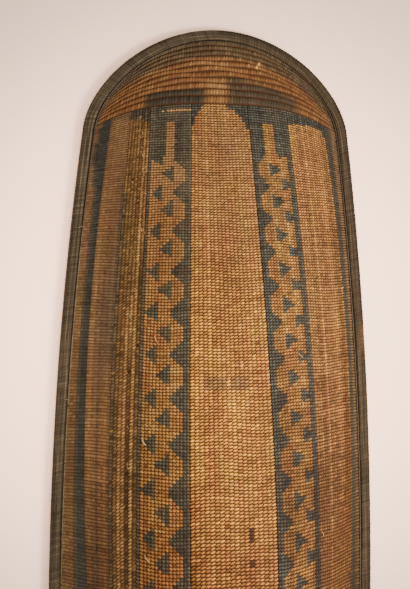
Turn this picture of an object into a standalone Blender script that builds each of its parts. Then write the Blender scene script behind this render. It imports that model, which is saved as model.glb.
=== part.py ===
"""Woven raffia shield: a long domed basketry body with a bound rim, an edging cane and a hand grip behind.

The shield lies face up on its rim. Metres, +Z up, +Y towards the upper end, origin under its middle.
"""

import math

import bmesh
import bpy
import numpy as np

# Outline of the shield, over the bound rim
LENGTH = 1.282
WIDTH = 0.354
DEPTH = 0.112
CAP_LENGTH = 0.108
CAP_ROUNDNESS = 1.9
SHOULDER_TAPER = 0.033
TAPER_POWER = 2.1

# Woven body
WALL = 0.005
CROWN_POWER = 1.9
FLANK_POWER = 2.8
FLANK_FLARE = 1.6
END_FIELD = 0.070
END_SHOULDER = 0.064
ROW_ARCH = 0.032
ARCH_POWER = 8.0
END_RIBS = 11
RIB_RELIEF = 0.0016
BODY_COLUMNS = 22
BODY_ROWS = 24

# Bound rim and the cane that edges it
RIM_WIDTH = 0.0115
RIM_HEIGHT = 0.012
RIM_STATIONS = 104
RIM_SEAT = 0.0006
CANE_DIAMETER = 0.0026
CANE_STAND_OFF = 0.0009
CANE_LIFT = 0.0012
CANE_STATIONS = 104
CANE_SIDES = 6
TURN_WEIGHT = 0.3

# Hand grip behind the middle, and the cord that ties each of its feet
GRIP_SPAN = 0.220
GRIP_FOOT = 0.050
GRIP_HOLD = 0.090
GRIP_REACH = 0.045
GRIP_WIDTH = 0.024
GRIP_THICKNESS = 0.015
GRIP_STATIONS = 25
LASHING_LENGTH = 0.030
LASHING_THICKNESS = 0.003
LASHING_STATIONS = 5

# Clearance between pieces that touch
GAP = 0.0003
GRIP_GAP = 0.0006

MIRRORED_QUARTERS = ((1, 1), (-1, 1), (-1, -1), (1, -1))
OCTAGON_SIDES = 8
CURVE_POINTS = 160
SLOPE_STEP = 0.0005


def clear_scene():
    """Removes every object of the open scene."""
    for old in list(bpy.data.objects):
        bpy.data.objects.remove(old)


def material(name, colour, roughness):
    """A matte plant-fibre finish of one colour."""
    finish = bpy.data.materials.new(name)
    finish.use_nodes = True
    shader = finish.node_tree.nodes["Principled BSDF"]
    shader.inputs["Base Color"].default_value = (*colour, 1.0)
    shader.inputs["Roughness"].default_value = roughness
    shader.inputs["Metallic"].default_value = 0.0
    return finish


def add_object(name, bm, finish):
    """Turns a finished bmesh into a named object with one material."""
    bmesh.ops.recalc_face_normals(bm, faces=bm.faces)
    mesh = bpy.data.meshes.new(name)
    bm.to_mesh(mesh)
    bm.free()
    mesh.materials.append(finish)
    mesh.shade_smooth()
    mesh.set_sharp_from_angle(angle=math.radians(40))
    obj = bpy.data.objects.new(name, mesh)
    bpy.context.scene.collection.objects.link(obj)
    return obj


def outline_quarter():
    """The outer outline from the middle of the right side to the upper tip, as arrays of x and y."""
    shoulder_y = LENGTH / 2 - CAP_LENGTH
    side_y = np.linspace(0.0, shoulder_y, CURVE_POINTS, endpoint=False)
    turn = np.linspace(0.0, math.pi / 2, CURVE_POINTS)
    cap_y = shoulder_y + CAP_LENGTH * np.sin(turn) ** (2 / CAP_ROUNDNESS)
    y = np.concatenate([side_y, cap_y])
    closing = np.concatenate([np.ones(CURVE_POINTS), np.cos(turn)])
    x = (WIDTH / 2 - SHOULDER_TAPER * (y / shoulder_y) ** TAPER_POWER) * closing
    x[-1] = 0.0
    return x, y


def inset_quarter(inset):
    """The quarter outline moved inwards by a distance."""
    x, y = outline_quarter()
    along = np.stack([np.gradient(x), np.gradient(y)])
    along /= np.linalg.norm(along, axis=0)
    along[:, 0] = (0.0, 1.0)
    along[:, -1] = (-1.0, 0.0)
    return x - along[1] * inset, y + along[0] * inset


def ring_path(inset, count):
    """Points of the whole outline, moved inwards and closer together where it turns."""
    x, y = inset_quarter(inset)
    loop = []
    for flip_x, flip_y in MIRRORED_QUARTERS:
        quarter = np.stack([x * flip_x, y * flip_y], axis=1)
        loop.append(quarter[:-1] if flip_x == flip_y else quarter[::-1][:-1])
    loop = np.concatenate(loop)
    closed = np.concatenate([loop, loop[:1]])
    steps = np.diff(closed, axis=0)
    headings = np.unwrap(np.arctan2(steps[:, 1], steps[:, 0]))
    turns = np.abs(np.diff(headings, append=headings[0] + 2 * math.pi))
    run = np.concatenate([[0.0], np.cumsum(np.linalg.norm(steps, axis=1) + TURN_WEIGHT * turns)])
    stops = np.linspace(0.0, run[-1], count, endpoint=False)
    return [(np.interp(s, run, closed[:, 0]), np.interp(s, run, closed[:, 1])) for s in stops]


EDGE_X, EDGE_Y = inset_quarter(RIM_WIDTH + RIM_SEAT)
TIP_Y = float(EDGE_Y[-1])
EDGE_TOP = (RIM_HEIGHT + WALL) / 2
FIELD_HALF = TIP_Y - END_FIELD
CORNER_Y = TIP_Y - END_SHOULDER


def edge_half_width(y):
    """Half the width of the woven body, inside the rim, at a place along it."""
    return float(np.interp(abs(y), EDGE_Y, EDGE_X))


def edge_end(x):
    """How far the woven body reaches along Y at a distance from its centre line."""
    return float(np.interp(-abs(x), -EDGE_X, EDGE_Y))


def crown(y):
    """Height of the outer face along the centre line."""
    share = min(1.0, abs(y) / TIP_Y)
    return EDGE_TOP + (DEPTH - EDGE_TOP) * (1 - share**CROWN_POWER)


def dome(x, y):
    """Height of the outer face: a flat crown, steep flanks and a short flare at the rim."""
    half = edge_half_width(y)
    across = min(1.0, abs(x) / half) if half > SLOPE_STEP else 1.0
    return EDGE_TOP + (crown(y) - EDGE_TOP) * (1 - across**FLANK_POWER) ** FLANK_FLARE


def face_normal(x, y):
    """Unit normal of the outer face, pointing out of the shield."""
    slope_x = (dome(x + SLOPE_STEP, y) - dome(x - SLOPE_STEP, y)) / (2 * SLOPE_STEP)
    slope_y = (dome(x, y + SLOPE_STEP) - dome(x, y - SLOPE_STEP)) / (2 * SLOPE_STEP)
    normal = np.array([-slope_x, -slope_y, 1.0])
    return normal / np.linalg.norm(normal)


def weave_point(across, row):
    """Plan position in the weave: across runs -1 to 1, row -1 to 1 in the field and on to 2 at a tip."""
    field = min(1.0, abs(row))
    end_share = abs(row) - field
    centre = field * FIELD_HALF + end_share * (TIP_Y - FIELD_HALF)
    shoulder = field * FIELD_HALF - ROW_ARCH * field**ARCH_POWER
    shoulder += end_share * (CORNER_Y - shoulder)
    bow = 1 - across**2
    if end_share > 0:
        rim_x = across * edge_half_width(CORNER_Y)
        rim_bow = (edge_end(rim_x) - CORNER_Y) / (TIP_Y - CORNER_Y)
        bow += end_share * (rim_bow - bow)
    y = shoulder + (centre - shoulder) * bow
    return across * edge_half_width(shoulder), math.copysign(y, row)


def rib_height(across, row):
    """Relief of the coarse arched rows that close each end."""
    end_share = max(0.0, abs(row) - 1)
    return RIB_RELIEF * 0.5 * (1 - math.cos(2 * math.pi * END_RIBS * end_share)) * (1 - across**4)


def body_column(u):
    """Column places crowd together towards the steep flanks."""
    return (u + math.sin(u * math.pi / 2)) / 2


def body_row(v):
    """Row places: even along the field, and two for each coarse rib at the ends."""
    end_rows = 2 * END_RIBS
    index = abs(v) * (BODY_ROWS / 2 + end_rows)
    field = min(index, BODY_ROWS / 2)
    return math.copysign(field / (BODY_ROWS / 2) + (index - field) / end_rows, v)


def body_sheet(bm, depth):
    """One face of the woven body, at a depth below its outer face. Returns the boundary edges."""
    rows = BODY_ROWS + 4 * END_RIBS
    made = bmesh.ops.create_grid(bm, x_segments=BODY_COLUMNS, y_segments=rows, size=1.0)
    for vert in made["verts"]:
        across, row = body_column(vert.co.x), body_row(vert.co.y)
        x, y = weave_point(across, row)
        normal = face_normal(x, y)
        outer = np.array([x, y, dome(x, y) + rib_height(across, row)])
        vert.co = outer - normal * depth
    edges = {edge for vert in made["verts"] for edge in vert.link_edges}
    return [edge for edge in edges if edge.is_boundary]


def woven_body(finish):
    """The basketry shell: outer and inner faces joined round the edge."""
    bm = bmesh.new()
    edges = body_sheet(bm, 0.0) + body_sheet(bm, WALL)
    bmesh.ops.bridge_loops(bm, edges=edges)
    return add_object("woven_body", bm, finish)


def section_ring(bm, centre, side, up, section):
    """One closed ring of a swept section. Returns its edges."""
    verts = [bm.verts.new(centre + side * a + up * b) for a, b in section]
    return [bm.edges.new((verts[i - 1], verts[i])) for i in range(len(verts))]


def sweep(name, stations, section, closed, finish):
    """A section carried through stations of centre, side and up vectors, closed on itself or capped."""
    bm = bmesh.new()
    rings = [section_ring(bm, *station, section) for station in stations]
    pairs = list(zip(rings, rings[1:]))
    if closed:
        pairs.append((rings[-1], rings[0]))
    else:
        bmesh.ops.contextual_create(bm, geom=rings[0])
        bmesh.ops.contextual_create(bm, geom=rings[-1])
    for first, second in pairs:
        bmesh.ops.bridge_loops(bm, edges=first + second)
    return add_object(name, bm, finish)


def polygon_section(width, height, sides):
    """A polygon with flats at its bottom, top and sides, of a given width and height."""
    flat = math.cos(math.pi / sides)
    angles = [2 * math.pi * (i + 0.5) / sides for i in range(sides)]
    return [(math.cos(a) * width / 2 / flat, math.sin(a) * height / 2 / flat) for a in angles]


def outline_stations(inset, count, height_at):
    """Stations round the outline, with the side vector pointing outwards."""
    points = ring_path(inset, count)
    stations = []
    for i, (x, y) in enumerate(points):
        before, after = points[i - 1], points[(i + 1) % count]
        along = np.array([after[0] - before[0], after[1] - before[1], 0.0])
        along /= np.linalg.norm(along)
        outwards = np.array([along[1], -along[0], 0.0])
        stations.append((np.array([x, y, height_at(x, y, outwards)]), outwards, np.array([0.0, 0.0, 1.0])))
    return stations


def rim_binding(finish):
    """The wrapped rim, a ring with a flat underside that the shield rests on."""
    section = polygon_section(RIM_WIDTH, RIM_HEIGHT, OCTAGON_SIDES)
    stations = outline_stations(RIM_WIDTH / 2, RIM_STATIONS, lambda x, y, outwards: RIM_HEIGHT / 2)
    return sweep("rim_binding", stations, section, True, finish)


def cane_height(x, y, outwards):
    """The cane's centre, above the highest of the weave under it."""
    inner_x, inner_y = x - outwards[0] * CANE_DIAMETER / 2, y - outwards[1] * CANE_DIAMETER / 2
    return dome(inner_x, inner_y) + GAP + CANE_LIFT + CANE_DIAMETER / 2


def edging_cane(finish):
    """The thin cane that lies on the weave just inside the rim."""
    inset = RIM_WIDTH + CANE_STAND_OFF + CANE_DIAMETER / 2
    stations = outline_stations(inset, CANE_STATIONS, cane_height)
    section = polygon_section(CANE_DIAMETER, CANE_DIAMETER, CANE_SIDES)
    return sweep("edging_cane", stations, section, True, finish)


def smooth_step(value):
    """Eases 0 to 1."""
    value = min(1.0, max(0.0, value))
    return value * value * (3 - 2 * value)


def grip_line(y):
    """Height of the grip bar's centre: its feet follow the inner face and its hold stands off it."""
    foot_start = (GRIP_SPAN - GRIP_FOOT) / 2
    away = smooth_step((foot_start - abs(y)) / (foot_start - GRIP_HOLD / 2))
    return crown(y) - WALL - GRIP_GAP - GRIP_THICKNESS / 2 - GRIP_REACH * away


def grip_stations(start, end, count):
    """Stations along the grip, in the plane of the shield's centre line."""
    stations = []
    for y in np.linspace(start, end, count):
        slope = (grip_line(y + SLOPE_STEP) - grip_line(y - SLOPE_STEP)) / (2 * SLOPE_STEP)
        up = np.array([0.0, -slope, 1.0]) / math.hypot(slope, 1.0)
        stations.append((np.array([0.0, y, grip_line(y)]), np.array([1.0, 0.0, 0.0]), up))
    return stations


def hand_grip(finish):
    """The bowed grip bar behind the middle of the shield."""
    reach = (GRIP_SPAN + GRIP_FOOT) / 2
    section = polygon_section(GRIP_WIDTH, GRIP_THICKNESS, OCTAGON_SIDES)
    return sweep("hand_grip", grip_stations(-reach, reach, GRIP_STATIONS), section, False, finish)


def lashing_section():
    """A U that holds a foot of the grip against the inner face, open towards the weave."""
    inner = GRIP_WIDTH / 2 + GAP
    outer = inner + LASHING_THICKNESS
    top = GRIP_THICKNESS / 2 - GAP
    inner_floor = -GRIP_THICKNESS / 2 - GAP
    outer_floor = inner_floor - LASHING_THICKNESS
    return [
        (-outer, top), (-outer, outer_floor), (outer, outer_floor), (outer, top),
        (inner, top), (inner, inner_floor), (-inner, inner_floor), (-inner, top),
    ]


def grip_lashing(name, centre_y, finish):
    """The cord binding round one foot of the grip."""
    start, end = centre_y - LASHING_LENGTH / 2, centre_y + LASHING_LENGTH / 2
    return sweep(name, grip_stations(start, end, LASHING_STATIONS), lashing_section(), False, finish)


def main():
    clear_scene()
    raffia = material("natural raffia", (0.36, 0.17, 0.065), 0.7)
    dark_raffia = material("dark raffia binding", (0.085, 0.058, 0.036), 0.75)
    cane = material("split cane", (0.16, 0.12, 0.07), 0.55)
    wood = material("carved wood", (0.22, 0.12, 0.055), 0.6)
    cord = material("twisted fibre cord", (0.30, 0.19, 0.09), 0.8)
    woven_body(raffia)
    rim_binding(dark_raffia)
    edging_cane(cane)
    hand_grip(wood)
    grip_lashing("upper_grip_lashing", GRIP_SPAN / 2, cord)
    grip_lashing("lower_grip_lashing", -GRIP_SPAN / 2, cord)


main()
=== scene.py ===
"""The looks of a woven raffia shield that lies face up on its rim.

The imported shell, rim, cane and grip give every size and place. Each woven zone is modelled stitch by stitch
and laid on the dome; the rim is wound wrap by wrap; the grip behind is carved and lashed.
"""

import logging
import math
from dataclasses import dataclass, field
from enum import Enum
from typing import Any

import bmesh
import bpy
import numpy as np
from mathutils import Matrix, Vector


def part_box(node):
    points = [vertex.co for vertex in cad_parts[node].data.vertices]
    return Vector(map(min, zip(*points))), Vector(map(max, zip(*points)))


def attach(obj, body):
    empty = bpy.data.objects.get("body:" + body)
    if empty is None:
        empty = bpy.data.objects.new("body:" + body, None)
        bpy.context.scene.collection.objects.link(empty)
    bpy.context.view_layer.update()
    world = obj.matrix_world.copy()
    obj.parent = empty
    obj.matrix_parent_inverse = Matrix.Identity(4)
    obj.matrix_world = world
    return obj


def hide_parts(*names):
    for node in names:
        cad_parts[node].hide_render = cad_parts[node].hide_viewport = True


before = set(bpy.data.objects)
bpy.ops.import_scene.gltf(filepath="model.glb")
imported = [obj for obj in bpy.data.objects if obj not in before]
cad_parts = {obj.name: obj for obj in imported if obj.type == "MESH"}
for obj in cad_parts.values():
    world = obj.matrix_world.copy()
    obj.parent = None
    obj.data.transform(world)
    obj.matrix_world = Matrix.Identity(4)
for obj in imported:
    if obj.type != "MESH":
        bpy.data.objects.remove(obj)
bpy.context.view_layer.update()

LOG = logging.getLogger("shield")
MM = 0.001
BODY = "root"

# Side of the sensor, in millimetres, that Blender fits to the photograph's tall side
SENSOR = 36.0

Array = np.ndarray
Span = tuple[float, float]
Triple = tuple[float, float, float]
Numbers = tuple[float, ...]

# Seeds of the weave's first zone and of its ends
FIRST_ZONE_SEED = 100
END_SEED = 300

# How far undyed stitches differ in tone: each alone, by row, and in blotches of so many columns and rows
STITCH_TONE = 0.06
ROW_TONE = 0.035
FINE_BLOTCH = (0.12, (5, 1))
BROAD_BLOTCHES = ((0.05, (5, 9)), (0.14, (2, 60)))

# How far they differ in height
STITCH_LIFT = 0.11

# A zone whose rows are nowhere rubbed dull, from the middle of the shield to its end
UNWORN = (0.0,) * 6

# Settings that several shader nodes share
MIX = {"data_type": "RGBA"}
TIMES = {"operation": "MULTIPLY"}
SMOOTH = {"interpolation_type": "SMOOTHSTEP"}


def srgb(code: str) -> tuple[float, float, float, float]:
    """Turns an sRGB hex colour into the linear colour that Blender's sockets take.

    Args:
        code: Six hex digits, with or without a leading hash.

    Returns:
        Linear red, green, blue and an alpha of one.
    """
    digits = code.lstrip("#")
    shares = [int(digits[i : i + 2], 16) / 255 for i in (0, 2, 4)]
    linear = [s / 12.92 if s <= 0.04045 else ((s + 0.055) / 1.055) ** 2.4 for s in shares]
    return (linear[0], linear[1], linear[2], 1.0)


def feed(tree: bpy.types.NodeTree, node: bpy.types.Node, inputs: dict[Any, Any] | list[Any]) -> None:
    """Sets or links the inputs of a shader node.

    Args:
        tree: The material's node tree.
        node: The node.
        inputs: Values, sockets or nodes, whose first output is meant, by input name or number, or in order.
    """
    for name, value in enumerate(inputs) if isinstance(inputs, list) else inputs.items():
        if isinstance(value, bpy.types.Node):
            value = next(socket for socket in value.outputs if not socket.is_unavailable)
        if isinstance(value, bpy.types.NodeSocket):
            tree.links.new(value, node.inputs[name])
        else:
            node.inputs[name].default_value = value


def add_node(
    tree: bpy.types.NodeTree,
    kind: str,
    settings: dict[str, Any] | None = None,
    inputs: dict[Any, Any] | list[Any] | None = None,
    stops: tuple[tuple[float, str], ...] = (),
) -> bpy.types.Node:
    """Adds one shader node with its settings, values and links.

    Args:
        tree: The material's node tree.
        kind: The node's type name.
        settings: Properties of the node itself.
        inputs: What its inputs take, as in feed.
        stops: Places and hex colours of a colour ramp.

    Returns:
        The new node.
    """
    node = tree.nodes.new(kind)
    for name, value in (settings or {}).items():
        setattr(node, name, value)
    feed(tree, node, inputs or {})
    if stops:
        elements = node.color_ramp.elements
        while len(elements) < len(stops):
            elements.new(0.5)
        for element, (place, code) in zip(elements, stops):
            element.position = place
            element.color = srgb(code)
    return node


def new_material(name: str) -> tuple[bpy.types.Material, bpy.types.NodeTree, bpy.types.Node]:
    """Makes an empty material with a Principled shader joined to its output.

    Args:
        name: The material's name.

    Returns:
        The material, its node tree and the shader node.
    """
    made = bpy.data.materials.new(name)
    made.use_nodes = True
    tree = made.node_tree
    tree.nodes.clear()
    shader = add_node(tree, "ShaderNodeBsdfPrincipled")
    add_node(tree, "ShaderNodeOutputMaterial", {}, {"Surface": shader})
    return made, tree, shader


def add_pattern(
    tree: bpy.types.NodeTree,
    vector: Any,
    sizes: Triple,
    detail: float,
    roughness: float = 0.5,
    turn: float = 0.0,
) -> bpy.types.Node:
    """Adds noise whose blotches have their own size along each axis.

    Args:
        tree: The material's node tree.
        vector: The coordinates.
        sizes: The blotches' sizes in metres.
        detail: How many finer layers it has.
        roughness: How strong those are.
        turn: Its turn in plan, in degrees.

    Returns:
        The noise node.
    """
    scale = tuple(1 / size for size in sizes)
    rotation = (0.0, 0.0, math.radians(turn))
    spread = add_node(tree, "ShaderNodeMapping", {}, {"Vector": vector, "Rotation": rotation, "Scale": scale})
    inputs = {"Vector": spread, "Scale": 1.0, "Detail": detail, "Roughness": roughness}
    return add_node(tree, "ShaderNodeTexNoise", {}, inputs)


def read_marks(tree: bpy.types.NodeTree, *names: str) -> dict[str, bpy.types.NodeSocket]:
    """Reads the float attributes that the meshes carry.

    Args:
        tree: The material's node tree.
        names: The attributes' names.

    Returns:
        Their sockets by name.
    """
    nodes = {name: add_node(tree, "ShaderNodeAttribute", {"attribute_name": name}) for name in names}
    return {name: node.outputs["Fac"] for name, node in nodes.items()}


def add_layers(tree: bpy.types.NodeTree, colour: Any, layers: list[tuple[Any, Any]]) -> Any:
    """Lays colours over one another.

    Args:
        tree: The material's node tree.
        colour: The lowest colour.
        layers: How far each further layer covers, and its colour: a hex value or a node.

    Returns:
        The topmost node.
    """
    for share, over in layers:
        over = srgb(over) if isinstance(over, str) else over
        colour = add_node(tree, "ShaderNodeMix", MIX, {0: share, 6: colour, 7: over})
    return colour


@dataclass(frozen=True)
class Palette:
    """The hex colours of one kind of raffia: undyed in three tones, dyed in two, and its grooves."""

    shade: str
    body: str
    light: str
    dye_dark: str
    dye_light: str
    # The groove colour is painted shade; the last number lightens the crests, a painted highlight.
    groove: str
    painted_highlight_gain: float


@dataclass(frozen=True)
class RaffiaFinish:
    """Raffia palm strip, split, dyed or left natural, and twined damp.

    It looks dry and fibrous, and faintly glossy where the crests are rubbed. Each stitch has its own tone,
    dye, paleness and rubbing, given as attributes of its faces; the crest attribute says how high a point
    stands, and from it the grooves between stitches get painted shade and the crests a painted highlight.
    """

    name: str
    palette: Palette
    fibre_turn: float
    pale: str = "#d8a460"
    rubbed: str = "#a3825a"
    fibre_size: Triple = (7.0 * MM, 0.35 * MM, 2.0 * MM)
    patina_size: Triple = (70.0 * MM, 70.0 * MM, 70.0 * MM)
    tint_size: Triple = (11.0 * MM, 55.0 * MM, 55.0 * MM)
    fibre_values: Span = (0.78, 1.16)
    patina_values: Span = (0.84, 1.1)
    tint_hues: Span = (0.491, 0.511)
    painted_low_shade_gain: float = 0.86
    roughness: Span = (0.85, 0.5)
    gloss: float = 0.22
    groove_shade_strength: float = 0.92
    fibre_bump: float = 0.25 * MM

    def material(self) -> bpy.types.Material:
        """Builds the procedural material.

        Returns:
            The finished material.
        """
        made, tree, shader = new_material(self.name)
        marks = read_marks(tree, "tone", "dye", "pale", "rubbed", "crest")
        place = add_node(tree, "ShaderNodeTexCoord").outputs["Object"]
        colours, tone, crest = self.palette, marks["tone"], marks["crest"]
        stops = ((0.0, colours.shade), (0.5, colours.body), (1.0, colours.light))
        natural = add_node(tree, "ShaderNodeValToRGB", {}, {"Fac": tone}, stops)
        stops = ((0.15, colours.dye_dark), (0.95, colours.dye_light))
        dyed = add_node(tree, "ShaderNodeValToRGB", {}, {"Fac": tone}, stops)
        layers = [(marks["rubbed"], self.rubbed), (marks["dye"], dyed), (marks["pale"], self.pale)]
        colour = add_layers(tree, natural, layers)
        fibres = add_pattern(tree, place, self.fibre_size, 3.0, 0.6, self.fibre_turn)
        patina = add_pattern(tree, place, self.patina_size, 4.0, 0.6)
        tint = add_pattern(tree, place, self.tint_size, 2.0)
        # Painted highlight and shade: high crest points are lightened by the highlight gain, low points
        # darkened.
        painted_light_gains = (self.painted_low_shade_gain, colours.painted_highlight_gain)
        value = add_node(tree, "ShaderNodeMapRange", {}, [crest, 0.6, 1.0, *painted_light_gains])
        for noise, values in ((fibres, self.fibre_values), (patina, self.patina_values)):
            spread = add_node(tree, "ShaderNodeMapRange", {}, [noise, 0.3, 0.7, *values])
            value = add_node(tree, "ShaderNodeMath", TIMES, [value, spread])
        hue = add_node(tree, "ShaderNodeMapRange", {}, [tint, 0.3, 0.65, *self.tint_hues])
        shaded = add_node(tree, "ShaderNodeHueSaturation", {}, {"Color": colour, "Hue": hue, "Value": value})
        # Painted shade: the grooves between stitches darken towards the groove colour.
        painted_groove_shade = add_node(tree, "ShaderNodeMapRange", SMOOTH, [crest, 0.05, 0.95, self.groove_shade_strength, 0.0])
        rough = add_node(tree, "ShaderNodeMapRange", {}, [crest, 0.0, 1.0, *self.roughness])
        raised = {"Strength": 0.5, "Distance": self.fibre_bump, "Height": fibres}
        inputs = {
            "Base Color": add_layers(tree, shaded, [(painted_groove_shade, colours.groove)]),
            "Roughness": rough,
            "Normal": add_node(tree, "ShaderNodeBump", {}, raised),
            "Specular IOR Level": self.gloss,
        }
        feed(tree, shader, inputs)
        return made


@dataclass(frozen=True)
class StickFinish:
    """Split cane, carved wood or twisted cord: a streaked plant surface in two browns, smooth or dull."""

    name: str
    dark: str
    light: str
    grain_mm: Triple
    roughness: float
    bump_mm: float
    spots: str = "#2c2116"
    aged: str | None = None
    spot_size: Triple = (9.0 * MM, 9.0 * MM, 9.0 * MM)
    spot_share: float = 0.7

    def material(self) -> bpy.types.Material:
        """Builds the procedural material.

        Returns:
            The finished material.
        """
        made, tree, shader = new_material(self.name)
        place = add_node(tree, "ShaderNodeTexCoord").outputs["Object"]
        grain = add_pattern(tree, place, tuple(size * MM for size in self.grain_mm), 5.0, 0.65)
        dirt = add_pattern(tree, place, self.spot_size, 6.0, 0.7)
        stops = ((0.3, self.dark), (0.68, self.light))
        plain = add_node(tree, "ShaderNodeValToRGB", {}, {"Fac": grain}, stops)
        dirty = add_node(tree, "ShaderNodeMapRange", {}, [dirt, 0.52, 0.75, 0.0, self.spot_share])
        layers = [(dirty, self.spots)]
        if self.aged:
            layers.append((read_marks(tree, "aged")["aged"], self.aged))
        rougher = [grain, 0.0, 1.0, self.roughness + 0.15, self.roughness - 0.1]
        raised = {"Strength": 0.7, "Distance": self.bump_mm * MM, "Height": grain}
        inputs = {
            "Base Color": add_layers(tree, plain, layers),
            "Roughness": add_node(tree, "ShaderNodeMapRange", {}, rougher),
            "Normal": add_node(tree, "ShaderNodeBump", {}, raised),
        }
        feed(tree, shader, inputs)
        return made


@dataclass(frozen=True)
class ShieldForm:
    """The shield's outline and dome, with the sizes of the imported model."""

    length: float
    width: float
    depth: float
    rim_height: float
    rim_width: float = 11.5 * MM
    rim_seat: float = 0.6 * MM
    wall: float = 5.0 * MM
    cap_length: float = 108.0 * MM
    cap_roundness: float = 1.9
    shoulder_taper: float = 33.0 * MM
    taper_power: float = 2.1
    crown_power: float = 1.9
    flank_power: float = 2.8
    flank_flare: float = 1.6
    end_field: float = 70.0 * MM
    end_shoulder: float = 64.0 * MM
    row_arch: float = 25.0 * MM
    arch_power: float = 10.0
    bow_power: float = 3.0
    curve_points: int = 160
    slope_step: float = 0.5 * MM
    edge: tuple[Array, Array] = field(init=False)

    def __post_init__(self) -> None:
        """Works out the woven body's edge once."""
        object.__setattr__(self, "edge", self.inset(self.rim_width + self.rim_seat))

    def outline(self) -> tuple[Array, Array]:
        """Gives the outer outline from the middle of the right side to the upper tip.

        Returns:
            Arrays of x and y.
        """
        shoulder_y = self.length / 2 - self.cap_length
        side_y = np.linspace(0.0, shoulder_y, self.curve_points, endpoint=False)
        turn = np.linspace(0.0, math.pi / 2, self.curve_points)
        cap_y = shoulder_y + self.cap_length * np.sin(turn) ** (2 / self.cap_roundness)
        y = np.concatenate([side_y, cap_y])
        closing = np.concatenate([np.ones(self.curve_points), np.cos(turn)])
        x = (self.width / 2 - self.shoulder_taper * (y / shoulder_y) ** self.taper_power) * closing
        x[-1] = 0.0
        return x, y

    def inset(self, distance: float) -> tuple[Array, Array]:
        """Moves the quarter outline inwards.

        Args:
            distance: How far, in metres.

        Returns:
            Arrays of x and y.
        """
        x, y = self.outline()
        along = np.stack([np.gradient(x), np.gradient(y)])
        along /= np.linalg.norm(along, axis=0)
        along[:, 0] = (0.0, 1.0)
        along[:, -1] = (-1.0, 0.0)
        return x - along[1] * distance, y + along[0] * distance

    def ring(self, distance: float, shares: Array) -> Array:
        """Places points round the whole outline, moved inwards.

        Args:
            distance: How far inwards, in metres.
            shares: Their places along the way round, from 0 to 1.

        Returns:
            Points as rows of x and y, anticlockwise from the middle of the right side.
        """
        x, y = self.inset(distance)
        quarter = np.stack([x, y], axis=1)
        loop = np.concatenate(
            [
                quarter[:-1],
                (quarter * (-1, 1))[::-1][:-1],
                (quarter * (-1, -1))[:-1],
                (quarter * (1, -1))[::-1],
            ]
        )
        run = np.concatenate([[0.0], np.cumsum(np.linalg.norm(np.diff(loop, axis=0), axis=1))])
        stops = shares * run[-1]
        return np.stack([np.interp(stops, run, loop[:, 0]), np.interp(stops, run, loop[:, 1])], axis=1)

    @property
    def tip(self) -> float:
        """How far the woven body reaches along Y."""
        return float(self.edge[1][-1])

    @property
    def edge_top(self) -> float:
        """Height of the outer face where it meets the rim."""
        return (self.rim_height + self.wall) / 2

    @property
    def field_half(self) -> float:
        """Half the length of the fine weave, along the centre line."""
        return self.tip - self.end_field

    @property
    def corner(self) -> float:
        """Where the edge turns from the long side into the rounded end."""
        return self.tip - self.end_shoulder

    def half_width(self, y: Array) -> Array:
        """Gives half the width of the woven body at each y."""
        return np.interp(np.abs(y), self.edge[1], self.edge[0])

    def reach(self, x: Array) -> Array:
        """Gives how far the woven body reaches along Y at each x."""
        return np.interp(-np.abs(x), -self.edge[0], self.edge[1])

    def crown(self, y: Array) -> Array:
        """Gives the height of the outer face along the centre line."""
        share = np.minimum(1.0, np.abs(y) / self.tip)
        return self.edge_top + (self.depth - self.edge_top) * (1 - share**self.crown_power)

    def dome(self, x: Array, y: Array) -> Array:
        """Gives the height of the outer face: a flat crown, steep flanks and a short flare at the rim."""
        half = np.maximum(self.half_width(y), self.slope_step)
        across = np.minimum(1.0, np.abs(x) / half)
        flank = (1 - across**self.flank_power) ** self.flank_flare
        return self.edge_top + (self.crown(y) - self.edge_top) * flank

    def normal(self, x: Array, y: Array) -> Array:
        """Works out the unit normal of the outer face.

        Args:
            x: Places across.
            y: Places along.

        Returns:
            Normals as rows of x, y and z.
        """
        step = self.slope_step
        slope_x = (self.dome(x + step, y) - self.dome(x - step, y)) / (2 * step)
        slope_y = (self.dome(x, y + step) - self.dome(x, y - step)) / (2 * step)
        normal = np.stack([-slope_x, -slope_y, np.ones_like(slope_x)], axis=1)
        return normal / np.linalg.norm(normal, axis=1, keepdims=True)

    def plan(self, across: Array, row: Array) -> tuple[Array, Array]:
        """Places a point of the weave in plan.

        Args:
            across: Share of the half width, -1 to 1.
            row: -1 to 1 along the fine weave, and on to 2 at a tip.

        Returns:
            Arrays of x and y.
        """
        inner = np.minimum(1.0, np.abs(row))
        outer = np.abs(row) - inner
        centre = inner * self.field_half + outer * (self.tip - self.field_half)
        shoulder = inner * self.field_half - self.row_arch * inner**self.arch_power
        shoulder = shoulder + outer * (self.corner - shoulder)
        rim_x = across * self.half_width(np.full_like(across, self.corner))
        rim_bow = (self.reach(rim_x) - self.corner) / (self.tip - self.corner)
        bow = 1 - np.abs(across) ** self.bow_power
        bow = bow + outer * (rim_bow - bow)
        y = shoulder + (centre - shoulder) * bow
        return across * self.half_width(shoulder), np.copysign(y, row)

    def lay(self, across: Array, row: Array, lift: Array) -> Array:
        """Lays points of the weave on the dome.

        Args:
            across: Share of the half width, -1 to 1.
            row: -1 to 1 along the fine weave, and on to 2 at a tip.
            lift: Height above the outer face, along its normal, in metres.

        Returns:
            Points as rows of x, y and z.
        """
        x, y = self.plan(across, row)
        return np.stack([x, y, self.dome(x, y)], axis=1) + self.normal(x, y) * lift[:, None]


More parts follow.
